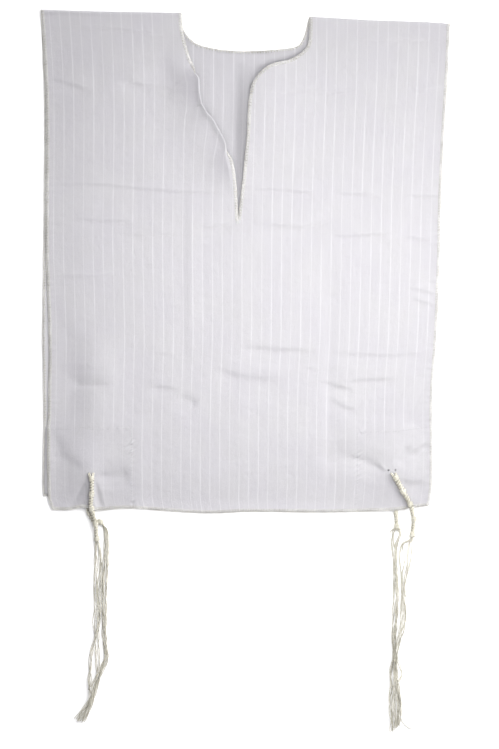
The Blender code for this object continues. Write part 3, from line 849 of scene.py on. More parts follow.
def clothMaterial(name, stripeStrength, ground="ground"):
    look = clothFinish
    sheen = {"Sheen_Weight": 0.12, "Sheen_Roughness": 0.6}
    nodes = Nodes(name, Roughness=look["roughness"], Specular_IOR_Level=0.25, **sheen)
    place = nodes.add("ShaderNodeUVMap", uv_map="flatCloth").outputs["UV"]
    split = nodes.add("ShaderNodeSeparateXYZ", {"Vector": place})
    across = nodes.math("MULTIPLY", split.outputs["X"], 1000.0)
    upward = nodes.math("MULTIPLY", split.outputs["Y"], 1000.0)

    def drawnOut(source, shareAcross, shareUp, **values):
        # noise drawn out along the cloth
        spot = {
            "X": nodes.math("MULTIPLY", source, shareAcross),
            "Y": nodes.math("MULTIPLY", upward, shareUp),
        }
        spot = nodes.add("ShaderNodeCombineXYZ", spot).outputs["Vector"]
        return nodes.noise(spot, noise_dimensions="2D", Scale=1.0, **values)

    # the woven stripes: a bright band each pitch, and fine ribs between
    shifted = nodes.math("SUBTRACT", across, look["stripeStart"])
    turns = nodes.math("DIVIDE", shifted, look["stripePitch"])
    shiftedTurns = nodes.math("ADD", turns, 0.5)
    fromMiddle = nodes.math("SUBTRACT", nodes.math("FRACT", shiftedTurns), 0.5)
    half = look["stripeWidth"] / look["stripePitch"] / 2
    stripe = nodes.ramp(nodes.math("ABSOLUTE", fromMiddle), half * 0.7, half * 1.3, 1.0, 0.0)
    ribTurns = nodes.math("MULTIPLY", across, 2 * math.pi / look["ribPitch"])
    rib = nodes.math("MULTIPLY", nodes.math("ADD", nodes.math("SINE", ribTurns), 1.0), 0.5)
    streak = drawnOut(across, 1.1, 0.012, Detail=3.0, Roughness=0.6)
    mottle = nodes.noise(place, Scale=22.0, Detail=3.0)

    warm = look["groundWarm"] if ground == "ground" else look[ground]
    base = nodes.colourMix(nodes.ramp(mottle, 0.3, 0.7), look[ground], warm)
    base = nodes.colourMix(nodes.math("MULTIPLY", rib, look["ribStrength"]), base, look["stripe"])
    streaks = nodes.ramp(streak, 0.42, 0.72, 0.0, look["streakStrength"])
    base = nodes.colourMix(streaks, base, look["stripe"])
    patched = nodes.add("ShaderNodeAttribute", attribute_name="patchShare").outputs["Fac"]
    fade = nodes.ramp(patched, 0.0, 1.0, stripeStrength, stripeStrength * look["overPatch"])
    # no two stripes quite as strong, and each comes and goes along its length
    worn = drawnOut(nodes.math("FLOOR", shiftedTurns), 3.7, 0.007, Detail=2.0)
    fade = nodes.math("MULTIPLY", fade, nodes.ramp(worn, 0.32, 0.68, 0.65, 1.2))
    striped = nodes.colourMix(nodes.math("MULTIPLY", stripe, fade), base, look["stripe"])
    nodes.join(striped, "Base Color")

    # plain weave over a faint crumple
    warp = nodes.math("SINE", nodes.math("MULTIPLY", across, 2 * math.pi / look["yarn"]))
    weft = nodes.math("SINE", nodes.math("MULTIPLY", upward, 2 * math.pi / look["yarn"]))
    crumple = nodes.noise(place, Scale=95.0, Detail=4.0, Roughness=0.55)
    normal = nodes.bump(crumple, 0.0009, 0.55)
    normal = nodes.bump(stripe, 0.00012, 0.5, normal)
    normal = nodes.bump(nodes.math("MULTIPLY", warp, weft), 0.00005, 0.5, normal)
    nodes.join(normal, "Normal")
    thin = nodes.add("ShaderNodeBsdfTranslucent", {"Normal": normal}, Color=look["seeThrough"])
    shaders = {1: nodes.shader.outputs["BSDF"], 2: thin.outputs["BSDF"]}
    both = nodes.add("ShaderNodeMixShader", shaders)
    both.inputs[0].default_value = look["through"]
    output = nodes.tree.nodes["Material Output"]
    nodes.tree.links.new(both.outputs["Shader"], output.inputs["Surface"])
    return nodes.material


def threadMaterial(name, light, dark, roughness, grain):
    nodes = Nodes(
        name, Roughness=roughness, Specular_IOR_Level=0.25, Sheen_Weight=0.1,
        Subsurface_Weight=0.35, Subsurface_Radius=(1.0, 0.92, 0.8), Subsurface_Scale=0.0012,
    )
    place = nodes.add("ShaderNodeTexCoord").outputs["Object"]
    broad = nodes.noise(place, Scale=grain * 0.12, Detail=2.0)
    fine = nodes.noise(place, Scale=grain, Detail=3.0)
    share = nodes.math("MULTIPLY", nodes.math("ADD", broad, fine), 0.5)
    nodes.join(nodes.colourMix(nodes.ramp(share, 0.42, 0.58), light, dark), "Base Color")
    nodes.join(nodes.bump(fine, 0.0002, 0.5), "Normal")
    return nodes.material


print("materials")
stripedCotton = clothMaterial("stripedCotton", 0.5)
# the cloth's wrong side, with painted shade in its darker colour
shadedWrongSide = clothMaterial("shadedWrongSide", 0.4, "inner")
patchCotton = clothMaterial("patchCotton", 0.45)
threadLooks = {
    "overlockCotton": ((0.62, 0.61, 0.57, 1), (0.42, 0.41, 0.375, 1), 0.8, 500.0),
    "seamCotton": ((0.56, 0.555, 0.575, 1), (0.48, 0.475, 0.495, 1), 0.85, 900.0),
    "ecruThread": ((0.53, 0.51, 0.442, 1), (0.395, 0.38, 0.318, 1), 0.8, 420.0),
}
threads = {name: threadMaterial(name, *look) for name, look in threadLooks.items()}


# The one length of cloth

def flatGrid():
    def spread(runs):
        places = [0.0]
        for end, cells in runs:
            start = places[-1]
            places += [mix(start, end, (n + 1) / cells) for n in range(cells)]
        return places

    columns = spread(cloth["columns"])
    rows = spread(cloth["rows"])
    bm = bmesh.new()
    bmesh.ops.create_grid(bm, x_segments=len(columns) - 1, y_segments=len(rows) - 1, size=0.5)
    for vert in bm.verts:
        column = round((vert.co.x + 0.5) * (len(columns) - 1))
        row = round((vert.co.y + 0.5) * (len(rows) - 1))
        vert.co = Vector((columns[column], rows[row], 0))
    return bm


def inside(point, outline):
    odd = False
    for a, b in zip(outline, outline[1:] + outline[:1]):
        if (a.y > point.y) != (b.y > point.y):
            if point.x < a.x + (point.y - a.y) / (b.y - a.y) * (b.x - a.x):
                odd = not odd
    return odd


def cutOut(bm, outline):
    # slices the flat faces along each stretch of the outline, then takes out what lies inside it
    def touching(faces, box):
        found = []
        for face in faces:
            x0, x1, y0, y1 = lineBox([vert.co for vert in face.verts], 0)
            if x1 >= box[0] and x0 <= box[1] and y1 >= box[2] and y0 <= box[3]:
                found.append(face)
        return found

    near = set(touching(bm.faces, lineBox(outline, 1)))
    for a, b in zip(outline, outline[1:] + outline[:1]):
        if (b - a).length < 0.01:
            continue
        crossed = touching(near, lineBox([a, b], 0))
        if not crossed:
            continue
        before = len(bm.faces)
        geom = set(crossed)
        for face in crossed:
            geom.update(face.edges)
            geom.update(face.verts)
        across = Vector((b.y - a.y, a.x - b.x, 0)).normalized()
        bmesh.ops.bisect_plane(bm, geom=list(geom), dist=0.03, plane_co=a, plane_no=across)
        bm.faces.ensure_lookup_table()
        near.update(bm.faces[n] for n in range(before, len(bm.faces)))
        near = {face for face in near if face.is_valid}
    gone = [face for face in near if inside(face.calc_center_median(), outline)]
    bmesh.ops.delete(bm, geom=gone, context="FACES")


def holeOutline(panel, x, y, radius):
    centre = flatPlace(panel, x, y)
    turns = [2 * math.pi * n / 10 for n in range(10)]
    return [centre + Vector((math.cos(turn), math.sin(turn), 0)) * radius for turn in turns]


def cordHoles(panel):
    # the two holes of each cord in one panel
    half = corners["holeSpacing"] / 2
    places = [(x + side, y) for x, y in corners[panel + "Holes"] for side in (-half, half)]
    return [holeOutline(panel, x, y, corners["holeRadius"]) for x, y in places]


def openHoles():
    # the two open holes by the front's right cord
    return [holeOutline("front", x, y, corners["openRadius"]) for x, y in corners["openHoles"]]


def writeFlat(bm):
    # keeps the place on the flat cloth, in metres, for the weave
    flat = bm.loops.layers.uv.new("flatCloth")
    for face in bm.faces:
        for loop in face.loops:
            loop[flat].uv = (loop.vert.co.x * mm, loop.vert.co.y * mm)


def thicken(piece, thickness):
    solid = piece.modifiers.new("thickness", "SOLIDIFY")
    solid.thickness = thickness * mm
    solid.offset = 0.0
    return solid


def makeCloth():
    bm = flatGrid()
    holes = cordHoles("front") + cordHoles("back") + openHoles()
    centres = [sum(hole, Vector()) / len(hole) for hole in holes]
    lip = [flatPlace("front", x, y) for x, y in relief["lip"]]

    def nearCords(at):
        top, reach = cloth["seamBand"]
        if any(within(at.x, at.y, area) for area in cloth["cordAreas"]):
            return True
        return at.y < top and min(abs(at.x - seam[1][0]) for seam in seams[:2]) < reach

    def nearRoll(at):
        low, high = cloth["rollRows"]
        if not low < at.y < high:
            return False
        away, side, along = nearLine(at.x, at.y, lip)
        return away < cloth["rollBands"][1 if side > 0 else 0]

    def nearHoles(at):
        return min((at - centre).length for centre in centres) < cloth["holeBand"]

    for near, cuts in ((nearCords, 1), (nearRoll, 2), (nearHoles, 2)):
        faces = [face for face in bm.faces if near(face.calc_center_median())]
        edges = list({edge for face in faces for edge in face.edges})
        bmesh.ops.subdivide_edges(bm, edges=edges, cuts=cuts, use_grid_fill=True)
    cutOut(bm, neckLine)
    for hole in holes:
        cutOut(bm, hole)
    bmesh.ops.dissolve_degenerate(bm, dist=0.05, edges=bm.edges)
    many = [face for face in bm.faces if len(face.verts) > 4]
    bmesh.ops.triangulate(bm, faces=many)
    loose = [vert for vert in bm.verts if not vert.link_faces]
    bmesh.ops.delete(bm, geom=loose, context="VERTS")
    writeFlat(bm)
    patched = bm.verts.layers.float.new("patchShare")
    for vert in bm.verts:
        u, v = vert.co.x, vert.co.y
        vert[patched] = patchCover(u, v)
        vert.co = clothPoint(u, v) * mm
    piece = meshPiece("cloth", bm, stripedCotton)
    # the inner faces take the wrong side's material, whose darker colour is painted shade
    piece.data.materials.append(shadedWrongSide)
    thicken(piece, cloth["thickness"]).material_offset = 1
    return piece


print("cloth")
clothPiece = makeCloth()
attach(clothPiece, "root")
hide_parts("front_panel", "back_panel")


# The corner patches, inside the cloth

patch = {
    "cells": 34,
    "inset": 1.5,
    "thickness": 0.45,
    "under": 0.8,
}


def makePatch(name, side, panel):
    inset, cells, under = patch["inset"], patch["cells"], patch["under"]
    us, vs = (inset, patchFlat["left"]), (inset, patchFlat["front"])
    if side == "right":
        us = (patchFlat["right"], cloth["width"] - inset)
    if panel == "back":
        vs = (patchFlat["back"], cloth["length"] - inset)
    bm = bmesh.new()
    bmesh.ops.create_grid(bm, x_segments=cells, y_segments=cells, size=0.5)
    for vert in bm.verts:
        vert.co = Vector((mix(*us, vert.co.x + 0.5), mix(*vs, vert.co.y + 0.5), 0))
    for hole in cordHoles(panel) + (openHoles() if panel == "front" else []):
        if us[0] < hole[0].x < us[1]:
            cutOut(bm, hole)
    bmesh.ops.dissolve_degenerate(bm, dist=0.05, edges=bm.edges)
    writeFlat(bm)
    shift = -up * under if panel == "front" else up * under
    for vert in bm.verts:
        vert.co = (clothPoint(vert.co.x, vert.co.y) + shift) * mm
    piece = meshPiece(name, bm, patchCotton)
    thicken(piece, patch["thickness"])
    return piece


print("patches")
patches = []
for panel in ("front", "back"):
    for side in ("left", "right"):
        piece = makePatch("patch" + panel.capitalize() + side.capitalize(), side, panel)
        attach(piece, "root")
        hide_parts("patch_" + panel + "_" + side)
        patches.append(piece)


# The sewing: overlock on every cut edge, lockstitch on the patches, a bar tack at the slit's end

sewing = {
    "pitch": 3.4,
    "depth": 2.8,
    "loose": 0.25,
    "radius": 0.38,
    "edgeRadius": 0.34,
    "needleRadius": 0.2,
    "stitch": 2.5,
    "stitchGap": 0.7,
    "tackWidth": 5.5,
    "tackLength": 2.6,
    "tackThreads": 7,
    # how a thread runs through one stitch: shares of its length, with the height off the cloth
    "needle": ((0.06, 0.18), (0.3, 0.42), (0.7, 0.42), (0.94, 0.18)),
    "lockstitch": ((0.0, 0.18), (0.3, 0.38), (0.7, 0.38), (1.0, 0.18)),
    "tack": ((-0.5, 0.2), (-0.3, 0.5), (0.0, 0.62), (0.3, 0.5), (0.5, 0.2)),
    # the looper's: the way in from the edge, in depths and then millimetres, share and height
    "looper": (
        (1.0, 0, 0.0, 0.42), (0.5, 0, 0.26, 0.56), (0, -0.30, 0.5, 0.16),
        (0.45, 0, 0.58, -0.46), (0.9, 0, 0.68, -0.42), (0.45, 0, 0.80, -0.46),
        (0, -0.30, 0.90, -0.05), (0.45, 0, 0.95, 0.52),
    ),
}


# A route is a line of places on the flat cloth, each with the way into the cloth

def alongRoute(route, s):
    run = 0.0
    for (a, inA), (b, inB) in zip(route, route[1:]):
        length = (b - a).length
        if run + length >= s:
            t = (s - run) / length
            return a.lerp(b, t), inA.lerp(inB, t).normalized()
        run += length
    return route[-1]


def routeLength(route):
    return runsAlong([place for place, inward in route])[-1]


def neckRoute():
    route = []
    count = len(neckLine)
    for n in range(count + 1):
        here = neckLine[n % count]
        before = neckLine[(n - 1) % count]
        after = neckLine[(n + 1) % count]
        inward = Vector((after.y - before.y, before.x - after.x, 0)).normalized()
        if inside(here + inward * 0.5, neckLine):
            inward = -inward
        route.append((here, inward))
    return route


def besideRoute(route, s, inset, lift):
    base, inward = alongRoute(route, s)
    at = base + inward * inset
    return onCloth(at.x, at.y, lift)


def overlockLines(route):
    # the looper thread wraps the edge once a stitch, over the edge and back beneath
    length = routeLength(route)
    count = round(length / sewing["pitch"])
    pitch = length / count
    looper, purl, needle = [], [], []
    for n in range(count):
        loose = sewing["loose"] * random.uniform(-1, 1)
        for depths, extra, share, lift in sewing["looper"]:
            inset = sewing["depth"] * depths + extra
            s = min((n + share) * pitch, length)
            looper.append(besideRoute(route, s, inset + loose * (inset > 2), lift))
        for share in (0.0, 0.25, 0.5, 0.75):
            bulge = 0.32 + 0.22 * math.sin(2 * math.pi * share + 0.6)
            lift = 0.12 * math.cos(2 * math.pi * share)
            purl.append(besideRoute(route, (n + share) * pitch, -bulge, lift))
        for share, lift in sewing["needle"]:
            needle.append(besideRoute(route, (n + share) * pitch, sewing["depth"] + 0.1, lift))
    return looper, purl, needle


def makeOverlock(name, routes):
    bm = bmesh.new()
    loopers, purls, needles = zip(*[overlockLines(route) for route in routes])
    threadsMesh(bm, loopers, sewing["radius"])
    threadsMesh(bm, purls, sewing["edgeRadius"])
    threadsMesh(bm, needles, sewing["needleRadius"])
    return meshPiece(name, bm, threads["overlockCotton"])


def makeStitches():
    # the patches' stitch lines, and the bar tack across the slit's end
    lines = []
    stitch, width = sewing["stitch"], sewing["tackWidth"]
    step = stitch + sewing["stitchGap"]
    for points in seams:
        route = [(Vector((u, v, 0)), up) for u, v in points]
        for n in range(int(routeLength(route) / step)):
            lines.append([
                besideRoute(route, n * step + share * stitch, 0, lift)
                for share, lift in sewing["lockstitch"]
            ])
    x, y, corner = garment["frontNeck"][garment["slitEnd"]]
    end = flatPlace("front", x, y)
    for n in range(sewing["tackThreads"]):
        v = end.y + (n / (sewing["tackThreads"] - 1) - 0.75) * sewing["tackLength"] + 0.3 * (n % 2)
        lines.append([onCloth(end.x + share * width, v, lift) for share, lift in sewing["tack"]])
    bm = bmesh.new()
    threadsMesh(bm, lines, sewing["needleRadius"])
    return meshPiece("stitches", bm, threads["seamCotton"])


print("sewing")
random.seed(12)
east, north = Vector((1, 0, 0)), Vector((0, 1, 0))
wide, long = east * cloth["width"], north * cloth["length"]
edges = [
    (Vector(), long, east), (wide, long, -east), (Vector(), wide, north), (long, wide, -north),
]
edgeRoutes = [[(start, inward), (start + run, inward)] for start, run, inward in edges]
overlockBody = makeOverlock("overlockBody", edgeRoutes)
overlockNeck = makeOverlock("overlockNeck", [neckRoute()])
stitches = makeStitches()
for piece in (overlockBody, overlockNeck, stitches):
    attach(piece, "root")


# The tassels. Each head's rows are x, y, radius and the height of its underside, None where it
# lies on the cloth; the rows of each pair of threads and of the stray one are y, x, z

tassels = {}
tassels["frontLeft"] = {
    "node": "tassel_front_left",
    "holes": (-189.6, -126.0),
    "panel": "front",
    "head": [
        (-189.7, -128.2, 2.6, None), (-188.7, -134.0, 2.3, None), (-188.7, -144.8, 2.4, None),
        (-189.4, -156.3, 2.4, None), (-190.0, -165.0, 2.5, None), (-188.6, -171.0, 2.6, 6.4),
        (-187.1, -177.5, 2.6, 4.8), (-184.9, -186.0, 2.6, 3.6), (-183.9, -193.0, 2.4, 2.6),
        (-183.5, -204.0, 2.3, 0.9), (-182.6, -209.0, 2.8, 0.3),
    ],
    "pairs": [
        [(-214, -184.9, 1.6), (-222, -185.3, 1.4), (-244, -185.7, 1.3), (-265, -186.4, 1.3),
         (-286, -185.7, 1.3), (-301, -186.1, 1.3), (-312, -186.9, 1.3), (-329, -185.4, 1.3),
         (-338, -188.2, 1.3), (-348, -191.2, 1.4), (-370, -192.2, 1.6), (-381, -193.6, 2.2),
         (-392, -192.4, 3.2), (-401, -191.4, 3.9), (-411, -196.2, 4.0), (-420, -203.2, 3.9),
         (-429.5, -209.8, 3.7)],
        [(-214, -183.8, 2.4), (-222, -183.9, 2.4), (-244, -182.9, 2.4), (-265, -183.3, 2.4),
         (-286, -182.5, 2.4), (-312, -182.2, 2.4), (-322, -183.4, 2.4), (-331, -185.5, 2.5),
         (-341, -187.6, 2.6), (-359, -190.0, 2.7), (-381, -190.8, 3.3), (-391, -191.7, 4.4),
         (-401, -189.6, 4.9), (-411, -193.4, 4.8), (-421, -199.4, 4.4), (-432.0, -206.6, 3.9)],
        [(-213, -181.4, 2.2), (-222, -180.4, 1.6), (-244, -179.2, 1.4), (-256, -180.2, 1.4),
         (-276, -181.6, 1.4), (-301, -180.0, 1.4), (-316, -182.6, 3.4), (-333, -184.9, 3.6),
         (-348, -184.3, 1.9), (-362, -183.8, 1.5), (-374, -182.9, 1.6), (-380, -185.2, 3.4),
         (-386, -188.6, 4.6), (-398, -188.9, 5.2), (-411, -191.0, 5.0), (-421, -196.4, 4.6),
         (-433.0, -203.2, 4.0)],
        [(-213, -180.6, 1.6), (-222, -178.8, 1.3), (-233, -177.9, 1.3), (-244, -176.9, 1.5),
         (-258, -177.4, 2.6), (-275, -178.8, 2.6), (-301, -178.8, 2.6), (-322, -180.9, 2.2),
         (-348, -180.6, 1.4), (-360, -179.9, 1.6), (-370, -180.8, 3.4), (-381, -184.3, 4.6),
         (-395, -187.5, 5.0), (-411, -190.0, 4.6), (-421, -193.6, 4.2), (-433.0, -199.6, 3.8)],
    ],
    "wrap": [(-193.6, -393.0, 3.2), (-191.8, -389.8, 6.0), (-188.8, -386.6, 7.0),
             (-185.4, -382.2, 6.6), (-182.6, -377.4, 5.2), (-181.2, -372.0, 2.6)],
}
tassels["backLeft"] = {
    "node": "tassel_back_left",
    "holes": (-200.0, -110.0),
    "panel": "back",
    "head": [
        (-200.0, -113.6, 0.8, None), (-200.0, -128.0, 0.8, None), (-198.6, -150.0, 0.9, None),
        (-197.3, -158.0, 1.2, 1.6), (-195.4, -168.0, 1.6, 0.6), (-191.0, -178.6, 2.2, 0.3),
        (-187.0, -184.8, 2.3, 0.3), (-181.5, -185.0, 2.3, 0.3), (-176.8, -186.6, 2.6, 0.3),
    ],
    "pairs": [
        [(-190, -175.8, 1.6), (-196, -174.2, 1.4), (-205, -173.4, 1.3), (-222, -173.9, 1.3),
         (-244, -175.0, 1.3), (-265, -176.1, 1.3), (-286, -176.3, 1.3), (-312, -175.8, 1.3),
         (-333, -175.0, 1.3), (-348, -173.4, 1.3), (-354, -172.6, 1.3), (-362, -176.2, 1.3),
         (-375, -180.6, 1.3), (-386, -184.0, 1.4), (-397, -187.0, 1.5), (-411, -194.4, 1.4),
         (-420, -201.0, 1.4), (-431, -208.4, 1.4)],
        [(-190, -175.4, 2.7), (-195, -173.0, 2.4), (-204, -172.0, 2.4), (-222, -171.8, 2.4),
         (-244, -173.4, 2.5), (-265, -174.6, 2.5), (-286, -174.8, 2.5), (-312, -174.4, 2.5),
         (-333, -173.8, 2.5), (-350, -172.6, 2.4), (-358, -174.4, 2.4), (-375, -179.4, 2.4),
         (-390, -184.2, 2.4), (-404, -188.6, 2.4), (-418, -196.6, 2.4), (-432, -204.8, 2.2)],
        [(-190, -174.9, 1.5), (-195, -172.0, 1.3), (-204, -170.4, 1.3), (-222, -169.8, 1.3),
         (-244, -170.6, 1.3), (-265, -171.6, 1.3), (-286, -171.6, 1.3), (-312, -171.8, 1.3),
         (-333, -172.2, 1.3), (-345, -171.0, 1.3), (-353, -169.4, 1.3), (-360, -170.4, 1.3),
         (-368, -174.6, 1.3), (-380, -179.6, 1.3), (-392, -183.0, 1.3), (-404, -186.8, 1.3),
         (-418, -193.8, 1.3), (-433, -201.6, 1.3)],
        [(-190, -174.5, 2.7), (-194, -171.0, 2.6), (-203, -169.2, 2.2), (-222, -168.9, 1.8),
         (-244, -169.7, 2.0), (-265, -170.9, 2.4), (-286, -172.0, 2.4), (-312, -173.0, 2.4),
         (-333, -171.4, 2.4), (-345, -170.4, 2.3), (-352, -170.9, 2.3), (-360, -172.8, 2.4),
         (-370, -177.0, 2.4), (-384, -181.9, 2.4), (-398, -186.0, 2.4), (-412, -189.2, 2.4),
         (-432.5, -198.4, 2.3)],
    ],
}
tassels["frontRight"] = {
    "node": "tassel_front_right",
    "holes": (183.2, -126.0),
    "panel": "front",
    "head": [
        (183.8, -127.8, 2.7, None), (186.2, -132.0, 2.8, None), (191.8, -142.0, 3.0, None),
        (197.6, -152.5, 2.9, None), (202.8, -161.5, 2.7, None), (205.8, -169.5, 2.5, 5.4),
        (206.9, -176.0, 2.4, 3.6), (209.1, -183.0, 2.5, 1.8), (207.9, -192.2, 2.3, 0.5),
        (207.2, -200.0, 2.4, 0.3), (206.6, -204.2, 2.8, 0.3),
    ],
    "pairs": [
        [(-207, 205.0, 1.8), (-209, 201.6, 2.2), (-211, 196.6, 1.6), (-216, 193.2, 1.4),
         (-224, 191.6, 1.3), (-234, 191.3, 1.3), (-254, 193.4, 1.3), (-275, 193.7, 1.4),
         (-300, 192.6, 2.0), (-312, 192.2, 3.6), (-326, 189.6, 4.8), (-345, 185.4, 4.8),
         (-358, 182.0, 4.2), (-372, 179.2, 3.0), (-384, 180.4, 3.8), (-396, 178.6, 4.4),
         (-412, 178.4, 4.2), (-432, 180.4, 3.9), (-446.2, 180.8, 3.6)],
        [(-207, 205.4, 3.0), (-210, 200.6, 3.2), (-214, 195.6, 2.6), (-226, 195.4, 1.5),
         (-233, 197.2, 1.4), (-241, 196.4, 1.6), (-249, 194.2, 2.6), (-262, 194.6, 2.6),
         (-280, 195.2, 2.5), (-300, 195.4, 3.0), (-314, 193.6, 4.8), (-330, 189.6, 6.0),
         (-348, 185.8, 6.0), (-366, 184.2, 5.6), (-384, 184.0, 5.2), (-398, 183.4, 5.0),
         (-414, 183.0, 4.8), (-430, 184.0, 4.4), (-443.0, 184.1, 4.0)],
        [(-208, 206.0, 1.8), (-213, 203.2, 1.6), (-222, 201.9, 1.3), (-238, 200.8, 1.3),
         (-254, 198.4, 1.3), (-268, 196.6, 1.4), (-285, 197.2, 1.4), (-302, 198.0, 2.2),
         (-314, 196.4, 3.8), (-330, 192.0, 5.0), (-346, 188.2, 4.8), (-362, 187.0, 4.8),
         (-378, 186.6, 5.0), (-392, 187.2, 5.0), (-408, 188.0, 4.6), (-424, 188.2, 4.2),
         (-441.0, 187.4, 3.8)],
        [(-208, 206.8, 2.8), (-214, 207.0, 2.0), (-223, 206.2, 1.4), (-238, 203.8, 1.4),
         (-252, 200.2, 2.2), (-264, 197.8, 2.6), (-282, 198.6, 2.6), (-300, 198.9, 2.6),
         (-312, 197.6, 3.6), (-326, 193.6, 4.8), (-342, 189.4, 4.8), (-354, 188.2, 4.2),
         (-364, 191.4, 2.6), (-374, 193.8, 2.2), (-383, 190.6, 3.4), (-395, 190.8, 4.0),
         (-408, 192.8, 3.6), (-424, 192.0, 3.0), (-438.0, 190.4, 2.6)],
    ],
    "stray": [(-416, 191.4, 2.2), (-425, 192.4, 1.4), (-431, 193.9, 0.9), (-436, 197.0, 0.8),
              (-440, 201.4, 0.8), (-441.6, 205.4, 0.8)],
    "wrap": [(178.6, -391.4, 3.6), (181.0, -388.4, 5.8), (185.0, -386.6, 7.2),
             (188.6, -384.2, 6.8), (191.4, -381.0, 5.2), (194.0, -376.6, 2.8)],
}
tassels["backRight"] = {
    "node": "tassel_back_right",
    "holes": (190.0, -117.0),
    "panel": "back",
    "head": [
        (190.0, -120.6, 0.7, None), (190.0, -134.0, 0.7, None), (189.0, -150.0, 0.7, None),
        (188.0, -159.5, 1.0, None), (187.0, -168.0, 1.2, 0.8), (186.6, -175.0, 1.9, 0.4),
        (187.3, -183.0, 2.3, 0.3), (187.6, -190.0, 2.4, 0.3), (187.4, -193.6, 2.6, 0.3),
    ],
    "bar": [(182.9, -195.4, 1.6), (185.4, -194.8, 3.4), (189.6, -194.4, 3.4), (192.4, -194.8, 1.6)],
    "pairs": [
        [(-195, 184.0, 2.2), (-197, 181.6, 2.0), (-201, 180.6, 1.4), (-209, 181.0, 1.3),
         (-222, 182.3, 1.3), (-233, 183.4, 1.3), (-254, 184.2, 1.3), (-275, 183.9, 1.3),
         (-300, 183.4, 1.3), (-318, 182.4, 1.3), (-333, 182.2, 1.3), (-350, 183.8, 1.3),
         (-362, 182.6, 1.3), (-376, 180.4, 1.3), (-390, 181.6, 1.3), (-408, 180.6, 1.3),
         (-428, 182.0, 1.3), (-444.5, 182.4, 1.3)],
        [(-196, 185.6, 2.6), (-200, 183.6, 2.2), (-209, 183.4, 1.5), (-222, 185.4, 2.0),
         (-234, 186.6, 2.4), (-254, 187.0, 2.4), (-275, 187.0, 2.4), (-300, 186.4, 2.4),
         (-318, 185.8, 2.4), (-336, 184.8, 2.4), (-352, 185.2, 2.4), (-370, 185.0, 2.4),
         (-390, 185.2, 2.4), (-410, 185.4, 2.4), (-430, 185.8, 2.2), (-441, 185.8, 2.0)],
        [(-195, 190.0, 2.2), (-198, 191.9, 2.0), (-203, 192.4, 1.4), (-208, 190.6, 1.3),
         (-214, 188.4, 1.3), (-224, 187.2, 1.3), (-236, 187.4, 1.3), (-254, 188.6, 1.3),
         (-275, 189.4, 1.3), (-300, 188.4, 1.3), (-318, 186.8, 1.3), (-336, 186.4, 1.3),
         (-352, 187.0, 1.3), (-370, 187.6, 1.3), (-390, 188.0, 1.3), (-410, 190.2, 1.3),
         (-426, 189.6, 1.3), (-439, 188.6, 1.3)],
        [(-196, 189.2, 2.8), (-200, 190.8, 2.6), (-206, 189.2, 2.4), (-212, 186.6, 2.4),
         (-224, 185.2, 2.6), (-240, 185.4, 2.6), (-256, 186.2, 2.6), (-275, 187.6, 2.6),
         (-300, 187.6, 2.6), (-322, 184.0, 2.5), (-340, 183.0, 2.4), (-352, 184.6, 2.4),
         (-372, 187.0, 2.4), (-392, 190.0, 1.6), (-410, 192.0, 1.4), (-428, 191.2, 1.4),
         (-438, 189.8, 1.4)],
    ],
}

tassel = {
    "headStart": 1.8,
    "headLength": 80,
    "coreStep": 1.2,
    "windPitch": 3.4,
    "windRadius": 1.05,
    "windSlant": 2.0,
    "perTurn": 12,
    "knots": (0.03, 0.26, 0.49, 0.73, 0.97),
    # a knot's loops: which way each slants, and how far it lies from the knot's middle
    "knotLoops": ((-1, -0.75), (-1, 0.75), (1, -0.75), (1, 0.75)),
    "knotLength": 3.4,
    "knotBulge": 0.35,
    "threadRadius": 0.48,
    "threadStep": 0.9,
    "lay": 4.2,
    "lobes": 3,
    "pairTurn": 46.0,
    "pairGap": 0.76,
    "endSpread": 0.8,
    "endRun": 26,
    "legThreads": 4,
    "legRadius": 0.86,
    "barRadius": 1.25,
}


def clothTop(panel, x, y):
    # the height of what a cord lies on
    if panel == "front":
        return frontHeight(x, y) + cloth["thickness"] / 2
    return backHeight(x, y) + patch["under"] + patch["thickness"] / 2


def headPath(spec):
    points, radii = [], []
    for x, y, radius, under in spec["head"]:
        base = clothTop(spec["panel"], x, y) + 0.15 if under is None else under
        points.append(Vector((x, y, base + radius)))
        radii.append(radius)
    runs = runsAlong(points)
    rows = [(s, p.x, p.y, p.z, r) for s, p, r in zip(runs, points, radii)]
    return {"columns": ("s", "x", "y", "z", "radius"), "rows": rows}, runs[-1]


def headFrame(table, s):
    # the cord's centre, radius, and its two cross directions
    run = (placeOn(table, s + 0.5) - placeOn(table, s - 0.5)).normalized()
    sideways = run.cross(up).normalized()
    return placeOn(table, s), readTable(table, "radius", s), sideways, sideways.cross(run)


def knotBulge(share):
    away = [(share - knot) * tassel["headLength"] for knot in tassel["knots"]]
    return max(bell(distance, tassel["knotLength"]) for distance in away)


def thinness(radius):
    # thinner where the cord is drawn flat between the two layers of cloth
    return min(radius / 2, 1.0)


def roundCord(place, angle, reach):
    # a place on a thread round the cord, never in the table
    centre, radius, sideways, upright = place
    at = centre + (sideways * math.cos(angle) + upright * math.sin(angle)) * reach
    at.z = max(at.z, tassel["windRadius"] * thinness(radius) + 0.03)
    return at


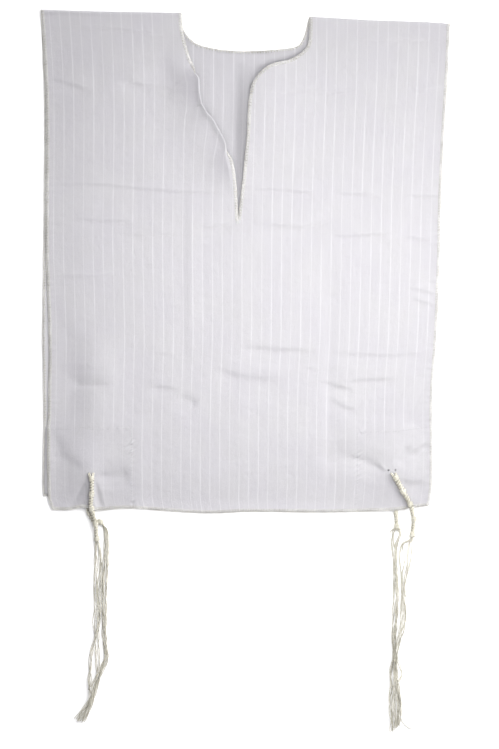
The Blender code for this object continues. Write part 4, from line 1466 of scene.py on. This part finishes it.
def makeHead(bm, spec):
    table, length = headPath(spec)
    start, wind = tassel["headStart"], tassel["windRadius"]
    steps = round((length - start) / tassel["coreStep"])
    core, coreRadii = [], []
    for n in range(steps + 1):
        centre, radius, sideways, upright = headFrame(table, mix(start, length, n / steps))
        core.append(centre)
        coreRadii.append(max(radius - wind * 1.15, 0.4))
    threadsMesh(bm, [core], 1.0, sides=8, radii=[coreRadii])
    # the winding: slanted turns side by side, uneven as a hand lays them
    winding, windRadii = [], []
    perTurn, pitch = tassel["perTurn"], tassel["windPitch"]
    for n in range(int((length - start) / pitch * perTurn) + 1):
        angle = 2 * math.pi * n / perTurn
        uneven = noise.noise(Vector((n / 17, spec["holes"][0], 0)))
        s = start + n / perTurn * pitch + tassel["windSlant"] * math.cos(angle) + 0.5 * uneven
        s = min(max(s, start), length)
        place = headFrame(table, s)
        thin = thinness(place[1])
        bulge = tassel["knotBulge"] * knotBulge((s - start) / (length - start))
        reach = (place[1] - wind * thin * 0.4 + bulge * 0.4) * (1 + 0.12 * uneven)
        winding.append(roundCord(place, angle, reach))
        windRadii.append(thin)
    threadsMesh(bm, [winding], wind, sides=6, radii=[windRadii])
    # each double knot: slanted loops both ways round the cord
    loops, loopRadii = [], []
    for knot in tassel["knots"]:
        for slant, offset in tassel["knotLoops"]:
            loop, radii = [], []
            for n in range(17):
                angle = 2 * math.pi * n / 16
                s = mix(start, length, knot) + offset + slant * 1.3 * math.sin(angle + 0.6)
                place = headFrame(table, min(max(s, start), length))
                thin = thinness(place[1])
                reach = place[1] + tassel["knotBulge"] * thin * (0.35 if slant < 0 else 0.75)
                loop.append(roundCord(place, angle, reach))
                radii.append(thin * 0.85)
            loops.append(loop)
            loopRadii.append(radii)
    threadsMesh(bm, loops, wind, sides=6, radii=loopRadii)
    return table, length


def legThickness(spec):
    # the back's legs are pressed between the layers
    return tassel["legRadius"] * (1.0 if spec["panel"] == "front" else 0.6)


def legLines(spec, table):
    # the threads from the first knot down one hole, under the cloth and up the other
    start = headFrame(table, tassel["headStart"] + 1.5)[0]
    holeX, holeY = spec["holes"]
    thick = legThickness(spec)
    lines = []
    for n in range(tassel["legThreads"]):
        sideShift = (n % 2 - 0.5) * 1.7 * thick
        liftShift = (n // 2 - 0.5) * 1.5 * thick
        legs = []
        for side in (-1, 1):
            x = holeX + side * corners["holeSpacing"] / 2
            top = clothTop(spec["panel"], x, holeY)
            if spec["panel"] == "front":
                below = frontHeight(x, holeY) - patch["under"] - 1.3
            else:
                below = max(backHeight(x, holeY) - 1.3, 0.75 + 0.8)
            leave = Vector((start.x + side * 1.2, start.y, start.z + liftShift * 0.8))
            toward = Vector((x - leave.x, holeY - leave.y, 0)).normalized()
            cross = Vector((-toward.y, toward.x, 0)) * sideShift
            hole = Vector((x, holeY, 0))
            over = top + thick + 0.15 + max(liftShift, 0) * 1.6
            brink = hole - toward * 2.6 + up * (over + 0.4)
            legs.append([
                leave + cross * 0.6,
                leave.lerp(brink, 0.5) + cross * 1.15,
                brink + cross,
                hole - toward * 0.6 + cross * 0.9 + up * (over - 0.1),
                hole + toward * 0.5 + cross * 0.7 + up * (top + 0.1 + liftShift * 0.4),
                hole + cross * 0.5 + up * (below + 0.7),
                hole + cross * 0.5 + Vector((-side * 0.9, 0, below + liftShift * 0.4)),
            ])
        lines.append(smoothLine(legs[0], 0.8) + smoothLine(legs[1], 0.8)[::-1])
    return lines


def pairLines(spec, table, length, n, rows):
    # two threads that turn slowly round each other along one route
    root = headFrame(table, length - 0.8)[0]
    rows = [Vector((x, y, z)) for y, x, z in rows]
    step, gap, endRun = tassel["threadStep"], tassel["pairGap"], tassel["endRun"]
    path = smoothLine([root, root.lerp(rows[0], 0.5)] + rows, step)
    lines = [[], []]
    phase = spec["holes"][0] * 0.7 + n * 1.9
    for i, point in enumerate(path):
        run = i * step
        ahead = path[min(i + 1, len(path) - 1)]
        behind = path[max(i - 1, 0)]
        sideways = (ahead - behind).cross(up).normalized()
        angle = phase + run / tassel["pairTurn"] * 2 * math.pi + 1.2 * math.sin(run / 31 + n)
        wide = gap * (1 + 1.6 * max(noise.noise(Vector((run / 22, phase, 0))), -0.2))
        wide *= 1 + tassel["endSpread"] * smooth((run - (len(path) - 1) * step + endRun) / endRun)
        for which in (0, 1):
            turn = angle + math.pi * which
            at = point + (sideways * math.cos(turn) * wide + up * math.sin(turn) * gap * 0.9)
            at.z = max(at.z, tassel["threadRadius"] + 0.08)
            lines[which].append(at)
    cut = int(random.uniform(0.6, 2.8) / step)
    lines[1] = lines[1][: len(lines[1]) - cut]
    return lines


def makeTassel(name, spec):
    bm = bmesh.new()
    table, length = makeHead(bm, spec)
    lay, lobes, step = tassel["lay"], tassel["lobes"], tassel["threadStep"]
    lines = []
    for n, rows in enumerate(spec["pairs"]):
        lines += pairLines(spec, table, length, n, rows)
    if "stray" in spec:
        lines.append(smoothLine([Vector((x, y, z)) for y, x, z in spec["stray"]], step))
    if "wrap" in spec:
        lines.append(smoothLine([Vector(point) for point in spec["wrap"]], step))
    threadsMesh(bm, lines, tassel["threadRadius"], lobes=lobes, lay=lay)
    if "bar" in spec:
        bar = smoothLine([Vector(point) for point in spec["bar"]], 0.6)
        threadsMesh(bm, [bar], tassel["barRadius"], lobes=lobes, lay=lay * 3)
    threadsMesh(bm, legLines(spec, table), legThickness(spec), lobes=lobes, lay=lay * 1.6)
    return meshPiece(name, bm, threads["ecruThread"])


print("tassels")
for key, spec in tassels.items():
    piece = makeTassel("tassel" + key[0].upper() + key[1:], spec)
    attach(piece, "root")
    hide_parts(spec["node"])


# Each patch's size as cut, worked out here and not used further

for piece in patches:
    wide = 0.108 if piece.name.endswith("Left") else 0.097
    long = 0.1 if "Front" in piece.name else 0.084


# Floor, light and camera

studio = {
    "pixel": 1.2373,                 # millimetres of the garment to one pixel of the photograph
    "centre": (5.57, -3.7),
    "imageHeight": 749,
    "lens": 100.0,
    "sensor": 36.0,
    "floorSize": 4.0,
    "floorDrop": 0.0002,
    "floorColour": (0.97, 0.97, 0.97, 1.0),
    "floorShade": (0.96, 0.96, 0.96, 1.0),
    "keyPlace": (1.55, 0.12, 0.95),
    "keyAim": (0.0, 0.05, 0.0),
    "keySize": 0.8,
    "keyPower": 20.0,
    "overPlace": (0.12, 0.11, 0.52),
    "overAim": (0.1, 0.1, 0.0),
    "overSize": 0.5,
    "overPower": 4.6,
    "lampColour": (1.0, 1.0, 0.98),
    "rakePlace": (0.6, 0.8, 0.66),     # only its direction matters
    "rakeSpread": 30.0,
    "rakePower": 1.65,
    "ambient": 0.60,
    "ambientColour": (0.975, 0.965, 1.0, 1.0),
}


def makeFloor():
    bm = bmesh.new()
    bmesh.ops.create_grid(bm, x_segments=2, y_segments=2, size=studio["floorSize"])
    nodes = Nodes("paleFloor", Roughness=0.9, Specular_IOR_Level=0.1)
    grain = nodes.noise(nodes.add("ShaderNodeTexCoord").outputs["Object"], Scale=6.0, Detail=2.0)
    nodes.join(nodes.colourMix(grain, studio["floorColour"], studio["floorShade"]), "Base Color")
    floor = meshPiece("floor", bm, nodes.material)
    floor.location.z = -studio["floorDrop"]


def aimed(name, lamp, way):
    holder = addObject(name, lamp)
    holder.rotation_euler = way.to_track_quat("-Z", "Y").to_euler()
    return holder


def makeLight():
    for name in ("key", "over"):
        lamp = bpy.data.lights.new(name + "Light", "AREA")
        lamp.shape = "SQUARE"
        lamp.size = studio[name + "Size"]
        lamp.energy = studio[name + "Power"]
        lamp.color = studio["lampColour"]
        place = Vector(studio[name + "Place"])
        aimed(name + "Light", lamp, Vector(studio[name + "Aim"]) - place).location = place
    lamp = bpy.data.lights.new("rakingLight", "SUN")
    lamp.energy = studio["rakePower"]
    lamp.angle = math.radians(studio["rakeSpread"])
    aimed("rakingLight", lamp, -Vector(studio["rakePlace"]))
    world = bpy.data.worlds.new("studio")
    world.use_nodes = True
    background = world.node_tree.nodes["Background"]
    background.inputs["Color"].default_value = studio["ambientColour"]
    background.inputs["Strength"].default_value = studio["ambient"]
    bpy.context.scene.world = world
    bpy.context.scene.view_settings.view_transform = "Standard"


def makeCamera():
    data = bpy.data.cameras.new("camera")
    data.lens = studio["lens"]
    data.sensor_width = studio["sensor"]
    data.clip_start, data.clip_end = 0.05, 20.0
    half = studio["imageHeight"] * studio["pixel"] * mm / 2
    distance = half / (studio["sensor"] / 2 / studio["lens"])
    x, y = studio["centre"]
    camera = addObject("camera", data)
    camera.location = (x * mm, y * mm, distance)
    bpy.context.scene.camera = camera


print("floor, light and camera")
makeFloor()
makeLight()
makeCamera()
